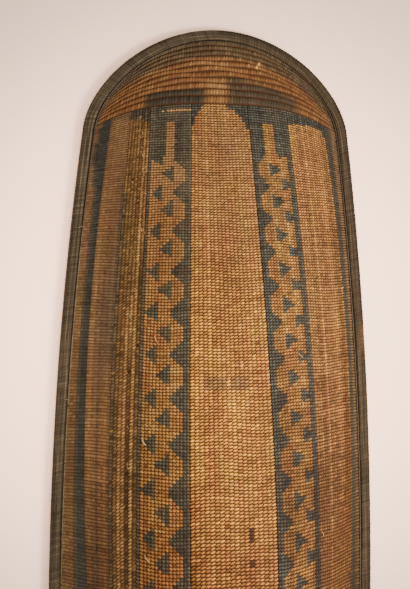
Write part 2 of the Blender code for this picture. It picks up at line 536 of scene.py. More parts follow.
@dataclass(frozen=True)
class Rows:
    """The weave's rows: coarser over the middle of the shield and finer towards its ends."""

    half_count: int = 177
    middle_pitch: float = 3.8 * MM
    end_pitch: float = 2.6 * MM

    def station(self, row: Array) -> Array:
        """Turns row numbers, counted from the middle, into shares of the fine weave's half length."""
        tightening = math.log(self.middle_pitch / self.end_pitch)
        share = (1 - np.exp(-tightening * np.abs(row) / self.half_count)) / (1 - math.exp(-tightening))
        return np.copysign(share, row)

    def pitch(self, row: Array) -> Array:
        """Gives the rows' spacing at each row, in metres."""
        share = np.minimum(1.0, np.abs(row) / self.half_count)
        return self.middle_pitch * (self.end_pitch / self.middle_pitch) ** share


@dataclass(frozen=True)
class Seam:
    """A line between two zones, as shares of the half width at the middle, halfway and the end."""

    middle: float
    halfway: float
    end: float

    def share(self, station: Array) -> Array:
        """Gives the seam's place at each station, on a smooth curve through its three shares."""
        t = np.abs(station)
        first = self.halfway - self.middle
        second = self.end - self.middle
        bend = 2 * (second - 2 * first)
        return self.middle + (2 * first - bend / 2) * t + bend * t**2


class Side(Enum):
    """The side of the shield a zone is on; its value is the sign of x."""

    LEFT = -1
    MIDDLE = 0
    RIGHT = 1


def new_attribute(mesh: bpy.types.Mesh, name: str, domain: str, values: Array) -> None:
    """Adds a float attribute to a mesh.

    Args:
        mesh: The mesh.
        name: The attribute's name.
        domain: FACE or POINT.
        values: One number for each face or point.
    """
    layer = mesh.attributes.new(name, "FLOAT", domain)
    layer.data.foreach_set("value", values.astype(np.float32))


def add_piece(
    name: str, mesh: bpy.types.Mesh, finish: bpy.types.Material, nodes: tuple[str, ...]
) -> bpy.types.Object:
    """Links a finished mesh as a piece of the shield.

    Args:
        name: The piece's name.
        mesh: Its mesh, in place.
        finish: Its material.
        nodes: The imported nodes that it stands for.

    Returns:
        The new object.
    """
    mesh.materials.clear()
    mesh.materials.append(finish)
    piece = bpy.data.objects.new(name, mesh)
    bpy.context.scene.collection.objects.link(piece)
    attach(piece, BODY)
    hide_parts(*nodes)
    LOG.info("%s: %d faces", name, len(mesh.polygons))
    return piece


def read_points(mesh: bpy.types.Mesh) -> Array:
    """Reads a mesh's points as rows of x, y and z."""
    points = np.empty(len(mesh.vertices) * 3)
    mesh.vertices.foreach_get("co", points)
    return points.reshape(-1, 3)


def face_centres(mesh: bpy.types.Mesh, points: Array) -> Array:
    """Averages the points of each face.

    Args:
        mesh: The mesh.
        points: Its points, in whatever space.

    Returns:
        Centres as rows.
    """
    corners = np.empty(len(mesh.loops), dtype=int)
    mesh.loops.foreach_get("vertex_index", corners)
    starts = np.empty(len(mesh.polygons), dtype=int)
    mesh.polygons.foreach_get("loop_start", starts)
    totals = np.diff(np.append(starts, len(corners)))
    return np.add.reduceat(points[corners], starts, axis=0) / totals[:, None]


def smooth_noise(rng: np.random.Generator, shape: tuple[int, int], cell: tuple[int, int]) -> Array:
    """Makes soft blotches over a grid of stitches.

    Args:
        rng: The seeded source of numbers.
        shape: Columns and rows.
        cell: The blotches' size in columns and rows.

    Returns:
        An array of numbers between about -1 and 1.
    """
    coarse = rng.uniform(-1, 1, (shape[0] // cell[0] + 3, shape[1] // cell[1] + 3))
    across = np.arange(shape[0]) / cell[0]
    along = np.arange(shape[1]) / cell[1]
    i, j = across.astype(int), along.astype(int)
    fi, fj = (across - i)[:, None], (along - j)[None, :]
    fi, fj = fi * fi * (3 - 2 * fi), fj * fj * (3 - 2 * fj)
    low = coarse[i][:, j] * (1 - fi) + coarse[i + 1][:, j] * fi
    high = coarse[i][:, j + 1] * (1 - fi) + coarse[i + 1][:, j + 1] * fi
    return low * (1 - fj) + high * fj


@dataclass
class Stitches:
    """What each stitch of a zone looks like: arrays of columns by rows, from 0 to 1."""

    tone: Array
    dye: Array
    pale: Array
    rubbed: Array
    lift: Array

    @classmethod
    def plain(
        cls, rng: np.random.Generator, columns: int, rows: int, streaks: float, base_tone: float
    ) -> "Stitches":
        """Makes undyed stitches whose tone varies by strip, by column and in soft blotches.

        Args:
            rng: The seeded source of numbers.
            columns: How many columns.
            rows: How many rows.
            streaks: How much the columns differ.
            base_tone: The mean tone.

        Returns:
            The stitches.
        """
        shape = (columns, rows)
        tone = base_tone + STITCH_TONE * rng.standard_normal(shape)
        tone += ROW_TONE * rng.standard_normal((1, rows))
        tone += FINE_BLOTCH[0] * smooth_noise(rng, shape, FINE_BLOTCH[1])
        tone += streaks * rng.standard_normal((columns, 1))
        for strength, cell in BROAD_BLOTCHES:
            tone += strength * smooth_noise(rng, shape, cell)
        none = np.zeros(shape)
        lift = 1 + STITCH_LIFT * rng.standard_normal(shape)
        return cls(tone, none.copy(), none.copy(), none.copy(), np.clip(lift, 0.5, 1.5))


@dataclass(frozen=True)
class Tooth:
    """A dark triangle of the chain, its upright side towards the centre field and its point away from it.

    Columns count outwards from the centre field; heights are rows from the triangle's middle.
    """

    start: float
    length: float
    tall: float
    blunt: float
    lower: float = 0.0

    def covers(self, column: Array, row: Array) -> Array:
        """Says which stitches lie in the triangle.

        Args:
            column: Middle of each column.
            row: Rows from the triangle's middle, upwards.

        Returns:
            True inside.
        """
        along = (column - self.start) / self.length
        reach = self.tall + (self.blunt - self.tall) * along
        return (along >= 0) & (along <= 1) & (np.abs(row + self.lower) < reach)


@dataclass(frozen=True)
class Chain:
    """A chain of light links between two dark lines; its holes and teeth point away from the centre."""

    repeat_rows: float
    first_hole_row: float
    inner_line: float
    inner_tooth: Tooth
    hole: Tooth
    outer_tooth: Tooth
    outer_line: float
    bar: Span
    ground_row: float = 158.0
    bar_row: float = 170.5

    def dark(self, column: Array, row: Array) -> Array:
        """Says which stitches are dark.

        Args:
            column: Middle of each column, counted outwards from the centre field.
            row: Middle of each row, counted from the shield's middle.

        Returns:
            True for dark stitches, as columns by rows.
        """
        column, row = column[:, None], np.abs(row)[None, :]
        half = self.repeat_rows / 2
        from_hole = (row - self.first_hole_row + half) % self.repeat_rows - half
        from_link = (row - self.first_hole_row) % self.repeat_rows - half
        lines = (column < self.inner_line) | (column > self.outer_line)
        chain = lines | self.hole.covers(column, from_hole)
        for tooth in (self.inner_tooth, self.outer_tooth):
            chain = chain | tooth.covers(column, from_link)
        bar = (column > self.bar[0]) & (column < self.bar[1]) & (row < self.bar_row)
        ground = (row > self.ground_row) & ~bar
        return (chain & (row <= self.ground_row)) | ground


def make_slab(
    name: str, columns: int, rows: int, front_steps: tuple[int, int], back_steps: tuple[int, int]
) -> bpy.types.Mesh:
    """Makes a flat closed slab of weave, measured in columns and rows.

    Args:
        name: The mesh's name.
        columns: Its width in columns.
        rows: Its length in rows.
        front_steps: Faces for each stitch of the front, across and along.
        back_steps: Faces for each stitch of the back.

    Returns:
        A mesh with its front at height 0 and its back at -1.
    """
    bm = bmesh.new()
    for steps, height in ((front_steps, 0.0), (back_steps, -1.0)):
        place = Matrix.Translation((columns / 2, rows / 2, height))
        place = place @ Matrix.Diagonal((columns / 2, rows / 2, 1.0, 1.0))
        bmesh.ops.create_grid(
            bm, x_segments=columns * steps[0], y_segments=rows * steps[1], size=1.0, matrix=place
        )
    rim = [edge for edge in bm.edges if edge.is_boundary]
    for axis, limit in ((0, 0.0), (0, columns), (1, 0.0), (1, rows)):
        side = [e for e in rim if all(abs(v.co[axis] - limit) < 1e-3 for v in e.verts)]
        bmesh.ops.bridge_loops(bm, edges=side)
    bmesh.ops.recalc_face_normals(bm, faces=bm.faces)
    mesh = bpy.data.meshes.new(name)
    bm.to_mesh(mesh)
    bm.free()
    return mesh


@dataclass
class WeaveZone:
    """One zone of the fine twined weave, from seam to seam and from end to end of the shield."""

    name: str
    side: Side
    columns: int
    start: Seam
    finish: Seam
    rows: Rows
    form: ShieldForm
    seed: int
    slant: float = 0.75
    streaks: float = 0.045
    base_tone: float = 0.5
    # Tone added from the middle of the shield to its end: partly the raffia's own tone, partly painted shade
    # where the light falls off, at the middle and at the end.
    tone_and_painted_falloff: Numbers = (-0.3, -0.14, 0.06, 0.08, -0.1, -0.18)
    dulling: Numbers = (0.0, 0.0, 0.0, 0.05, 0.2, 0.3)
    relief: float = 0.36
    front_steps: tuple[int, int] = (3, 3)
    back_steps: tuple[int, int] = (1, 2)
    column_places: Triple = (0.0, 0.28, 0.74)
    row_places: Triple = (0.0, 0.33, 0.71)
    column_groove: float = 0.20
    row_groove: float = 0.08
    off_crest: float = 0.78
    end_closing: float = 0.25
    closing_start: float = 0.6
    closing_length: float = 0.25
    glint: float = 1.08
    jitter: float = 0.07
    stray_rows: Span = (0.42, 0.16)
    dull_patches: float = 0.5
    dull_size: tuple[int, int] = (6, 14)
    back_relief: float = 0.5 * MM

    def stitches(self, rng: np.random.Generator) -> Stitches:
        """Gives the look of each stitch; plain zones are undyed."""
        look = Stitches.plain(rng, self.columns, 2 * self.rows.half_count, self.streaks, self.base_tone)
        station = np.abs(self.rows.station(self.row_middles()))
        tone_and_painted_falloff = np.interp(station, np.linspace(0, 1, len(self.tone_and_painted_falloff)), self.tone_and_painted_falloff)
        look.tone = np.clip(look.tone + tone_and_painted_falloff[None, :], 0, 1)
        dull = np.interp(station, np.linspace(0, 1, len(self.dulling)), self.dulling)[None, :]
        patches = smooth_noise(rng, look.tone.shape, self.dull_size)
        look.rubbed = np.clip(dull * (1 + self.dull_patches * patches), 0, 1)
        return look

    def outward(self) -> Array:
        """Gives the middle of each column, counted outwards from the centre line."""
        middles = np.arange(self.columns) + 0.5
        return self.columns - middles if self.side is Side.LEFT else middles

    def row_middles(self) -> Array:
        """Gives the middle of each row, counted from the middle of the shield."""
        return np.arange(2 * self.rows.half_count) - self.rows.half_count + 0.5

    def wander(self, across: Array, row: Array) -> Array:
        """Gives how far hand weaving strays from straight rows, in rows, alike on both sides of a seam."""
        first = np.sin(across * 7.3 + row / 19.0) * np.sin(row / 31.0 - across * 3.1)
        second = np.sin(across * 16.0 - row / 11.0 + 1.3)
        end = 1 - np.clip(np.abs(row) / self.rows.half_count, 0, 1) ** 8
        return (self.stray_rows[0] * first + self.stray_rows[1] * second) * end

    def build(self, finish: bpy.types.Material, slot: str) -> bpy.types.Object:
        """Lays the stitches on the dome.

        Args:
            finish: The raffia's material.
            slot: The record's material slot; not used.

        Returns:
            The finished piece.
        """
        rng = np.random.default_rng(self.seed)
        look = self.stitches(rng)
        half, count = self.rows.half_count, 2 * self.rows.half_count
        mesh = make_slab(self.name, self.columns, count, self.front_steps, self.back_steps)
        flat = read_points(mesh)
        front = flat[:, 2] > -0.5
        across_ticks = np.rint(flat[:, 0] * self.front_steps[0]).astype(int)
        along_ticks = np.rint(flat[:, 1] * self.front_steps[1]).astype(int)
        a, b = across_ticks % self.front_steps[0], along_ticks % self.front_steps[1]
        column, row = across_ticks // self.front_steps[0], along_ticks // self.front_steps[1]
        inside = front & (flat[:, 0] > 0.01) & (flat[:, 0] < self.columns - 0.01)
        loose = inside & (a > 0) & (b > 0)
        u_places, v_places = np.array(self.column_places), np.array(self.row_places)
        lean = self.slant * (v_places[b] - 0.5) * (b > 0) * inside
        stray = self.jitter * rng.standard_normal((2, len(flat))) * loose
        u = np.where(front, column + u_places[a] + lean + stray[0], flat[:, 0])
        v = np.where(front, row + v_places[b] + stray[1], flat[:, 1]) - half
        start, stop = (seam.share(self.rows.station(v)) for seam in (self.start, self.finish))
        across = start + (stop - start) * u / self.columns
        station = self.rows.station(v + self.wander(across, v))
        i, j = np.clip(column, 0, self.columns - 1), np.clip(row, 0, count - 1)
        # One diagonal of each stitch's top stands higher (glint) than the other (off_crest); through the
        # crest attribute it also takes more painted highlight.
        on_crest = (a == b) if self.slant > 0 else (a != b)
        rounded = look.lift[i, j] * np.where(on_crest, self.glint, self.off_crest)
        closing = np.clip((np.abs(v) / half - self.closing_start) / self.closing_length, 0, 1)
        closing = self.end_closing * closing
        # The crest sets each point's height and, in the material, its painted groove shade or painted crest
        # highlight.
        crest = np.where(b == 0, self.row_groove, np.where(a == 0, self.column_groove + closing, rounded))
        knuckle = (np.rint(flat[:, 1] * 2).astype(int) % 2) * self.back_relief
        lift = np.where(front, crest * self.relief * self.rows.pitch(v), -self.form.wall - knuckle)
        points = self.form.lay(across, station, lift)
        mesh.vertices.foreach_set("co", points.astype(np.float32).ravel())
        centres = face_centres(mesh, flat)
        ci = np.clip(np.floor(centres[:, 0]).astype(int), 0, self.columns - 1)
        cj = np.clip(np.floor(centres[:, 1]).astype(int), 0, count - 1)
        for name in ("tone", "dye", "pale", "rubbed"):
            new_attribute(mesh, name, "FACE", getattr(look, name)[ci, cj])
        # On the back the points between the knuckles take painted groove shade.
        back_crest = np.where(knuckle > 0, 1, 0.3)
        new_attribute(mesh, "crest", "POINT", np.where(front, np.clip(crest, 0, 1), back_crest))
        mesh.shade_smooth()
        mesh.update()
        return add_piece(self.name, mesh, finish, ("woven_body",))


@dataclass
class CentreField(WeaveZone):
    """The plain field down the middle, arched at its ends, with a rubbed patch and a few open gaps."""

    arch_row: float = 177.0
    arch_drop: float = 11.0
    arch_peak: float = 0.36
    patch_shares: Span = (0.17, 0.75)
    patch_rows: Span = (76, 80)
    patch_split: Span = (0.43, 0.49)
    patch_rub: Span = (0.3, 0.6)
    patch_tone: float = 0.42
    patch_lift: float = 0.86
    gaps: tuple[tuple[int, int, int], ...] = ((12, 31, 35), (12, 24, 26), (11, -27, -24), (12, -36, -33))
    gap_lift: float = 0.5
    gap_shade_dye: float = 0.3
    gap_shade_tone: float = 0.1

    def stitches(self, rng: np.random.Generator) -> Stitches:
        """Adds the dark corners above the arch, the rubbed patch and the gaps.

        Args:
            rng: The seeded source of numbers.

        Returns:
            The stitches.
        """
        look = super().stitches(rng)
        share = ((np.arange(self.columns) + 0.5) / self.columns)[:, None]
        row = self.row_middles()[None, :]
        side = np.where(share < self.arch_peak, self.arch_peak, 1 - self.arch_peak)
        arch = self.arch_row - self.arch_drop * (np.abs(share - self.arch_peak) / side) ** 3
        look.dye[np.abs(row) > arch] = 1.0
        patch = (share > self.patch_shares[0]) & (share < self.patch_shares[1])
        patch = patch & (row > self.patch_rows[0]) & (row < self.patch_rows[1])
        patch = patch & ((share < self.patch_split[0]) | (share > self.patch_split[1]))
        look.rubbed = np.maximum(look.rubbed, patch * rng.uniform(*self.patch_rub, look.rubbed.shape))
        look.tone = np.where(patch, self.patch_tone, look.tone)
        look.lift = np.where(patch, self.patch_lift, look.lift)
        # Painted shade: each open gap is lowered and its stitches darkened with dye and tone, for the shade
        # inside it.
        for column, first, last in self.gaps:
            gap = slice(first + self.rows.half_count, last + self.rows.half_count)
            look.lift[column, gap] = self.gap_lift
            look.dye[column, gap] = self.gap_shade_dye
            look.tone[column, gap] = self.gap_shade_tone
        return look


@dataclass
class ChainBand(WeaveZone):
    """A band with the dark and light chain, and on the left a head of bare, worn weft."""

    chain: Chain | None = None
    strength: float = 1.0
    fading_dye: float = 0.22
    bare_row: float = 174.3
    bare_columns: int = 12
    bare_share: float = 0.7
    bare_dye: float = 0.15
    bare_rub: float = 0.9
    bare_pale: float = 0.35
    bare_lift: float = 1.8

    def stitches(self, rng: np.random.Generator) -> Stitches:
        """Dyes the stitches of the chain.

        Args:
            rng: The seeded source of numbers.

        Returns:
            The stitches.
        """
        look = super().stitches(rng)
        outward, row = self.outward()[:, None], self.row_middles()[None, :]
        dark = self.chain.dark(self.outward(), self.row_middles())
        look.dye = dark * np.clip(self.strength + 0.1 * smooth_noise(rng, dark.shape, (3, 9)), 0, 1)
        look.tone = np.clip(look.tone + self.fading_dye * look.rubbed * look.dye, 0, 1)
        if self.side is Side.LEFT:
            bare = (np.abs(row - self.bare_row) < 0.6) & (outward < self.bare_columns)
            bare = bare & (rng.random(look.dye.shape) < self.bare_share)
            look.dye[bare] = self.bare_dye
            look.rubbed[bare] = self.bare_rub
            look.pale[bare] = self.bare_pale
            look.lift[bare] = self.bare_lift
        return look


@dataclass
class Flank(WeaveZone):
    """The plain zone on the slope of the dome, closed at its ends by dark rows with a rounded corner."""

    end_rows: Span = (171.0, 174.0)
    corner_columns: float = 2.6
    corner_rows: float = 6.0
    end_dye: float = 1.0
    stain_rows: Numbers = (85, 100, 135, 148)
    stain: float = 0.0
    stain_columns: float = 2.2
    mottling: float = 0.0
    mottle_size: tuple[int, int] = (2, 45)

    def stitches(self, rng: np.random.Generator) -> Stitches:
        """Adds the dark rows at the ends, the stain and the mottling.

        Args:
            rng: The seeded source of numbers.

        Returns:
            The stitches.
        """
        look = super().stitches(rng)
        row = np.abs(self.row_middles())[None, :]
        outward = self.outward()[:, None]
        from_corner = np.clip((outward - self.columns + self.corner_columns) / self.corner_columns, 0, 1)
        edge = np.interp(outward, (0, self.columns), self.end_rows) - self.corner_rows * from_corner**2
        look.dye = np.maximum(look.dye, self.end_dye * (row > edge))
        stain = np.interp(row, self.stain_rows, (0.0, self.stain, self.stain, 0.0))
        look.dye = np.maximum(look.dye, stain * np.exp(-(outward / self.stain_columns) ** 2))
        mottled = self.mottling * np.clip(smooth_noise(rng, look.dye.shape, self.mottle_size), 0, 1)
        look.dye = np.maximum(look.dye, mottled)
        return look


@dataclass
class Welt(Flank):
    """The creased strip beside the left band: some columns proud and rubbed pale, with broken stitches."""

    ridge_rows: Numbers = (8, 48, 70, 92, 112, 140, 177)
    ridge_columns: Numbers = (4.4, 4.1, 3.6, 3.2, 1.8, 1.0, 0.7)
    ridge_end: float = 168.0
    ridge_half: float = 0.95
    line_half: float = 0.6
    second_column: float = 1.5
    second_end: float = 106.0
    second_share: float = 0.7
    pale_shares: Span = (0.1, 0.95)
    gap_offset: float = 1.4
    gap_end: float = 150.0
    gap_shares: Span = (0.2, 0.9)
    gap_shade_tone: float = 0.22
    gap_lift: float = 0.4
    olive_column: float = 6.5
    olive_end: float = 142.0
    olive_dye: float = 0.75
    broken_share: float = 0.07
    broken_pale: Span = (0.2, 0.7)
    broken_lift: float = 0.6

    def stitches(self, rng: np.random.Generator) -> Stitches:
        """Adds the pale ridge, the dotted columns beside it and the olive line.

        Args:
            rng: The seeded source of numbers.

        Returns:
            The stitches.
        """
        look = super().stitches(rng)
        shape = look.tone.shape
        row = np.abs(self.row_middles())[None, :]
        outward = self.outward()[:, None]
        ridge = np.interp(row, self.ridge_rows, self.ridge_columns)
        fade = np.clip((self.ridge_end - row) / 10, 0, 1) * (0.7 + 0.3 * np.sin(row / 5.0 + 1.0))
        proud = self.line(outward - ridge, self.ridge_half) * fade
        second = self.line(outward - self.second_column, self.line_half) * (row < self.second_end)
        dotted = np.maximum(proud, second * self.second_share)
        thinning = np.clip((200 - row) / 90, 0.4, 1)
        look.pale = np.maximum(look.pale, dotted * rng.uniform(*self.pale_shares, shape) * thinning)
        look.lift += 0.5 * dotted + 0.2 * rng.standard_normal(shape)
        # Painted shade: beside the ridge a line of stitches is lowered and darkened.
        gaps = self.line(outward - ridge + self.gap_offset, self.line_half) * (row < self.gap_end)
        gaps = gaps * rng.uniform(*self.gap_shares, shape)
        look.tone -= self.gap_shade_tone * gaps
        look.lift -= self.gap_lift * gaps
        olive = self.line(outward - self.olive_column, self.line_half) * (row < self.olive_end)
        look.dye = np.maximum(look.dye, self.olive_dye * olive)
        broken = rng.random(shape) < self.broken_share
        look.pale[broken] = rng.uniform(*self.broken_pale, int(broken.sum()))
        look.lift[broken] *= self.broken_lift
        look.lift = np.clip(look.lift, 0.15, 2.0)
        look.tone = np.clip(look.tone, 0, 1)
        return look

    def line(self, off: Array, half: float) -> Array:
        """Gives 1 along a line of stitches and 0 away from it, by columns off the line and half its width."""
        return np.exp(-((off / half) ** 4))


@dataclass
class Margin(WeaveZone):
    """The narrow zone inside the rim: a dark stripe, then a brown margin."""

    stripe_columns: float = 2.0
    stripe_dyes: Span = (1.0, 0.84)
    margin_columns: float = 4.0
    margin_dyes: Span = (0.3, 0.55)
    margin_shade: float = 0.1
    top_widening: float = 0.0
    widest_row: float = 160.0
    widening_rows: float = 13.0

    def stitches(self, rng: np.random.Generator) -> Stitches:
        """Dyes the stripe dark and the margin brown.

        Args:
            rng: The seeded source of numbers.

        Returns:
            The stitches.
        """
        look = super().stitches(rng)
        outward = self.outward()[:, None]
        row = np.abs(self.row_middles())[None, :]
        swelling = np.exp(-(((row - self.widest_row) / self.widening_rows) ** 2))
        widest = self.stripe_columns + self.top_widening * swelling
        stripe = np.where(outward < widest - 1, *self.stripe_dyes)
        margin = np.where(outward > self.margin_columns, self.margin_dyes[1], self.margin_dyes[0])
        look.dye[:] = np.where(outward < widest, stripe, margin)
        look.tone = np.clip(look.tone - self.margin_shade * (outward > widest), 0, 1)
        return look


@dataclass
class WovenEnd:
    """One end of the shield: coarse arched ribs, bound down by strands that run along the shield."""

    name: str
    direction: int
    form: ShieldForm
    seed: int
    columns: int = 84
    ribs: int = 11
    across_steps: int = 3
    rib_steps: int = 6
    rib_crowding: float = 0.85
    relief: float = 2.3 * MM
    side_relief: float = 1.0 * MM
    strand_groove: float = 0.6
    rib_squareness: float = 0.5
    slant: float = 0.5
    back_relief: float = 0.5 * MM
    dark_shares: Numbers = (-1.0, -0.82, -0.65, -0.47, 0.0, 0.4, 0.75, 0.9, 1.0)
    dark_insets: Numbers = (4.0, 8.0, 12.0, 17.0, 18.5, 17.0, 12.0, 8.0, 4.0)
    edge_dye: float = 0.8
    edge_soft: float = 4.0 * MM
    strand_places: Triple = (0.0, 0.26, 0.74)
    strand_lifts: Span = (0.75, 1.15)
    left_dark: Triple = (-0.60, -0.13, 0.05)
    left_dark_ribs: Triple = (-1.0, 2.3, 0.4)
    right_dark: Triple = (0.05, 0.64, 0.10)
    right_dark_ribs: Triple = (-1.0, 4.2, 0.9)
    right_dark_slope: float = 2.6
    corner_patch: Triple = (0.60, 0.88, 0.04)
    corner_insets: Triple = (3.0 * MM, 9.5 * MM, 2.0 * MM)
    pale_spot: Span = (0.33, 7.2)

    def build(self, finish: bpy.types.Material, slot: str) -> bpy.types.Object:
        """Lays the ribs on the dome.

        Args:
            finish: The raffia's material.
            slot: The record's material slot; not used.

        Returns:
            The finished piece.
        """
        rng = np.random.default_rng(self.seed)
        mesh = make_slab(self.name, self.columns, self.ribs, (self.across_steps, self.rib_steps), (1, 2))
        if self.direction < 0:
            mesh.flip_normals()
        flat = read_points(mesh)
        front = flat[:, 2] > -0.5
        across_ticks = np.rint(flat[:, 0] * self.across_steps).astype(int)
        rib_ticks = np.rint(flat[:, 1] * self.rib_steps).astype(int)
        a, b = across_ticks % self.across_steps, rib_ticks % self.rib_steps
        column = np.clip(across_ticks // self.across_steps, 0, self.columns - 1)
        rib = np.clip(rib_ticks // self.rib_steps, 0, self.ribs - 1)
        inside = front & (flat[:, 0] > 0.01) & (flat[:, 0] < self.columns - 0.01)
        lean = self.slant * (b / self.rib_steps - 0.5) * (b > 0) * inside
        u = across_ticks // self.across_steps + np.array(self.strand_places)[a] + lean
        across = np.clip(2 * np.where(front, u, flat[:, 0]) / self.columns - 1, -1, 1)
        inner = np.clip(flat[:, 1] / self.ribs, 0, 1)
        sag = 0.012 * np.sin(across * 13 + rib * 1.7) * np.sin(np.pi * inner)
        station = self.direction * (1 + inner**self.rib_crowding + sag)
        strand = rng.uniform(*self.strand_lifts, (self.columns, self.ribs))
        round_rib = np.sin(np.pi * b / self.rib_steps) ** self.rib_squareness
        crest = round_rib * np.where(a == 0, self.strand_groove, strand[column, rib])
        ridge = self.side_relief + (self.relief - self.side_relief) * (1 - across**2)
        knuckle = self.back_relief * (np.rint(flat[:, 1] * 2) % 2)
        lift = np.where(front, crest * ridge, -self.form.wall - knuckle)
        points = self.form.lay(across, station, lift)
        mesh.vertices.foreach_set("co", points.astype(np.float32).ravel())
        self.dress(mesh, flat, rng)
        # The crest attribute gives the material's painted groove shade and painted crest highlight; the back
        # takes a little painted shade.
        new_attribute(mesh, "crest", "POINT", np.where(front, np.clip(crest, 0, 1), 0.8))
        mesh.shade_smooth()
        mesh.update()
        return add_piece(self.name, mesh, finish, ("woven_body",))

    def dress(self, mesh: bpy.types.Mesh, flat: Array, rng: np.random.Generator) -> None:
        """Gives each strand its tone and dye: dark against the fine weave, orange between, olive at the rim.

        Args:
            mesh: The laid mesh.
            flat: Its points in columns and ribs.
            rng: The seeded source of numbers.
        """
        share = ((np.arange(self.columns) + 0.5) / self.columns * 2 - 1)[:, None]
        rib = (np.arange(self.ribs) + 0.5)[None, :]
        shape = (self.columns, self.ribs)
        tone = 0.42 + 0.08 * rng.standard_normal(shape) + 0.14 * smooth_noise(rng, shape, (9, 2))
        tone += 0.10 * np.exp(-(((share + 0.05) / 0.25) ** 2)) * (rib < 7)
        strip = np.clip(1.8 - np.abs(share + 0.04) / 0.06, 0, 1) * np.clip((4.6 - rib) / 2, 0, 1)
        left = self.soft_box(share, *self.left_dark) * self.soft_box(rib, *self.left_dark_ribs)
        right = self.soft_box(rib + self.right_dark_slope * share, *self.right_dark_ribs)
        right = right * self.soft_box(share, *self.right_dark)
        dye = np.maximum(left, 0.9 * right) * (1 - 0.85 * strip)
        tone = tone * (1 - dye) + (0.1 + 0.3 * tone) * dye
        tone += 0.12 * strip
        uneven = 1 + 0.07 * rng.standard_normal(shape)
        spot = (np.abs(share - self.pale_spot[0]) < 0.03) & (np.abs(rib - self.pale_spot[1]) < 0.8)
        pale = 0.8 * (spot & (rng.random(shape) < 0.4))
        centres = face_centres(mesh, flat)
        i = np.clip(np.floor(centres[:, 0]).astype(int), 0, self.columns - 1)
        j = np.clip(np.floor(centres[:, 1]).astype(int), 0, self.ribs - 1)
        inset = self.from_rim(face_centres(mesh, read_points(mesh)))
        reach = np.interp(share[i, 0], self.dark_shares, self.dark_insets) * MM
        edge = np.clip((reach - inset) / self.edge_soft + 0.5, 0, 1) * self.edge_dye
        patch = self.soft_box(share[i, 0], *self.corner_patch) * self.soft_box(inset, *self.corner_insets)
        dye = np.maximum.reduce([dye[i, j], edge, patch]) * uneven[i, j]
        new_attribute(mesh, "tone", "FACE", np.clip(tone, 0, 1)[i, j])
        new_attribute(mesh, "dye", "FACE", np.clip(dye, 0, 1))
        new_attribute(mesh, "pale", "FACE", pale[i, j])
        new_attribute(mesh, "rubbed", "FACE", np.zeros(len(i)))

    def from_rim(self, points: Array) -> Array:
        """Measures how far points lie from the rim binding, seen from above.

        Args:
            points: Rows of x, y and z.

        Returns:
            Distances in metres.
        """
        ring = self.form.ring(self.form.rim_width, np.linspace(0, 1, 900, endpoint=False))
        ring = ring[ring[:, 1] * self.direction > 0.4]
        gaps = [np.linalg.norm(points[:, :2] - place, axis=1) for place in ring]
        return np.minimum.reduce(gaps)

    def soft_box(self, value: Array, low: float, high: float, soft: float) -> Array:
        """Gives 1 between two limits and 0 beyond them, with soft sides."""
        return np.clip((value - low) / soft + 0.5, 0, 1) * np.clip((high - value) / soft + 0.5, 0, 1)


@dataclass(frozen=True)
class WrapFinish:
    """Dark raffia wound side by side over a bundle: dull olive brown, with lengthwise stains and pale rubs.

    The run attribute goes along the rim in metres and the turn attribute round it. The outer and crest
    attributes paint shade: on the faces turned out and in, and in the gaps and creases between wraps.
    """

    name: str = "wound dark raffia"
    dark: str = "#352b1f"
    light: str = "#6c5f4b"
    stain: str = "#29241a"
    stain_size: Triple = (1 / 7, 1 / 24, 1.0)
    rub: str = "#85755a"
    rub_size: Triple = (1 / 12, 1 / 30, 1.0)
    groove: str = "#16110b"
    warm: str = "#5c482f"
    torn: str = "#96603c"
    roughness: float = 0.7
    gloss: float = 0.2

    def material(self) -> bpy.types.Material:
        """Builds the procedural material.

        Returns:
            The finished material.
        """
        made, tree, shader = new_material(self.name)
        marks = read_marks(tree, "tone", "crest", "run", "turn", "warm", "outer", "torn")
        along = add_node(tree, "ShaderNodeCombineXYZ", {}, [marks["run"], marks["turn"]])
        stops = ((0.0, self.dark), (1.0, self.light))
        plain = add_node(tree, "ShaderNodeValToRGB", {}, {"Fac": marks["tone"]}, stops)
        stained = [add_pattern(tree, along, self.stain_size, 4.0, 0.65), 0.45, 0.58, 0.0, 0.85]
        rubbed = [add_pattern(tree, along, self.rub_size, 4.0, 0.65), 0.56, 0.66, 0.0, 0.65]
        painted_groove_shade = [marks["crest"], 0.1, 0.8, 0.55, 0.0]
        layers = [
            (marks["warm"], self.warm),
            (add_node(tree, "ShaderNodeMapRange", {}, stained), self.stain),
            (add_node(tree, "ShaderNodeMapRange", {}, rubbed), self.rub),
            (marks["torn"], self.torn),
            # Painted shade: faces turned out and in, and the gaps and creases between wraps, darken towards
            # the groove colour.
            (marks["outer"], self.groove),
            (add_node(tree, "ShaderNodeMapRange", {}, painted_groove_shade), self.groove),
        ]
        colour = add_layers(tree, plain, layers)
        inputs = {"Base Color": colour, "Roughness": self.roughness, "Specular IOR Level": self.gloss}
        feed(tree, shader, inputs)
        return made


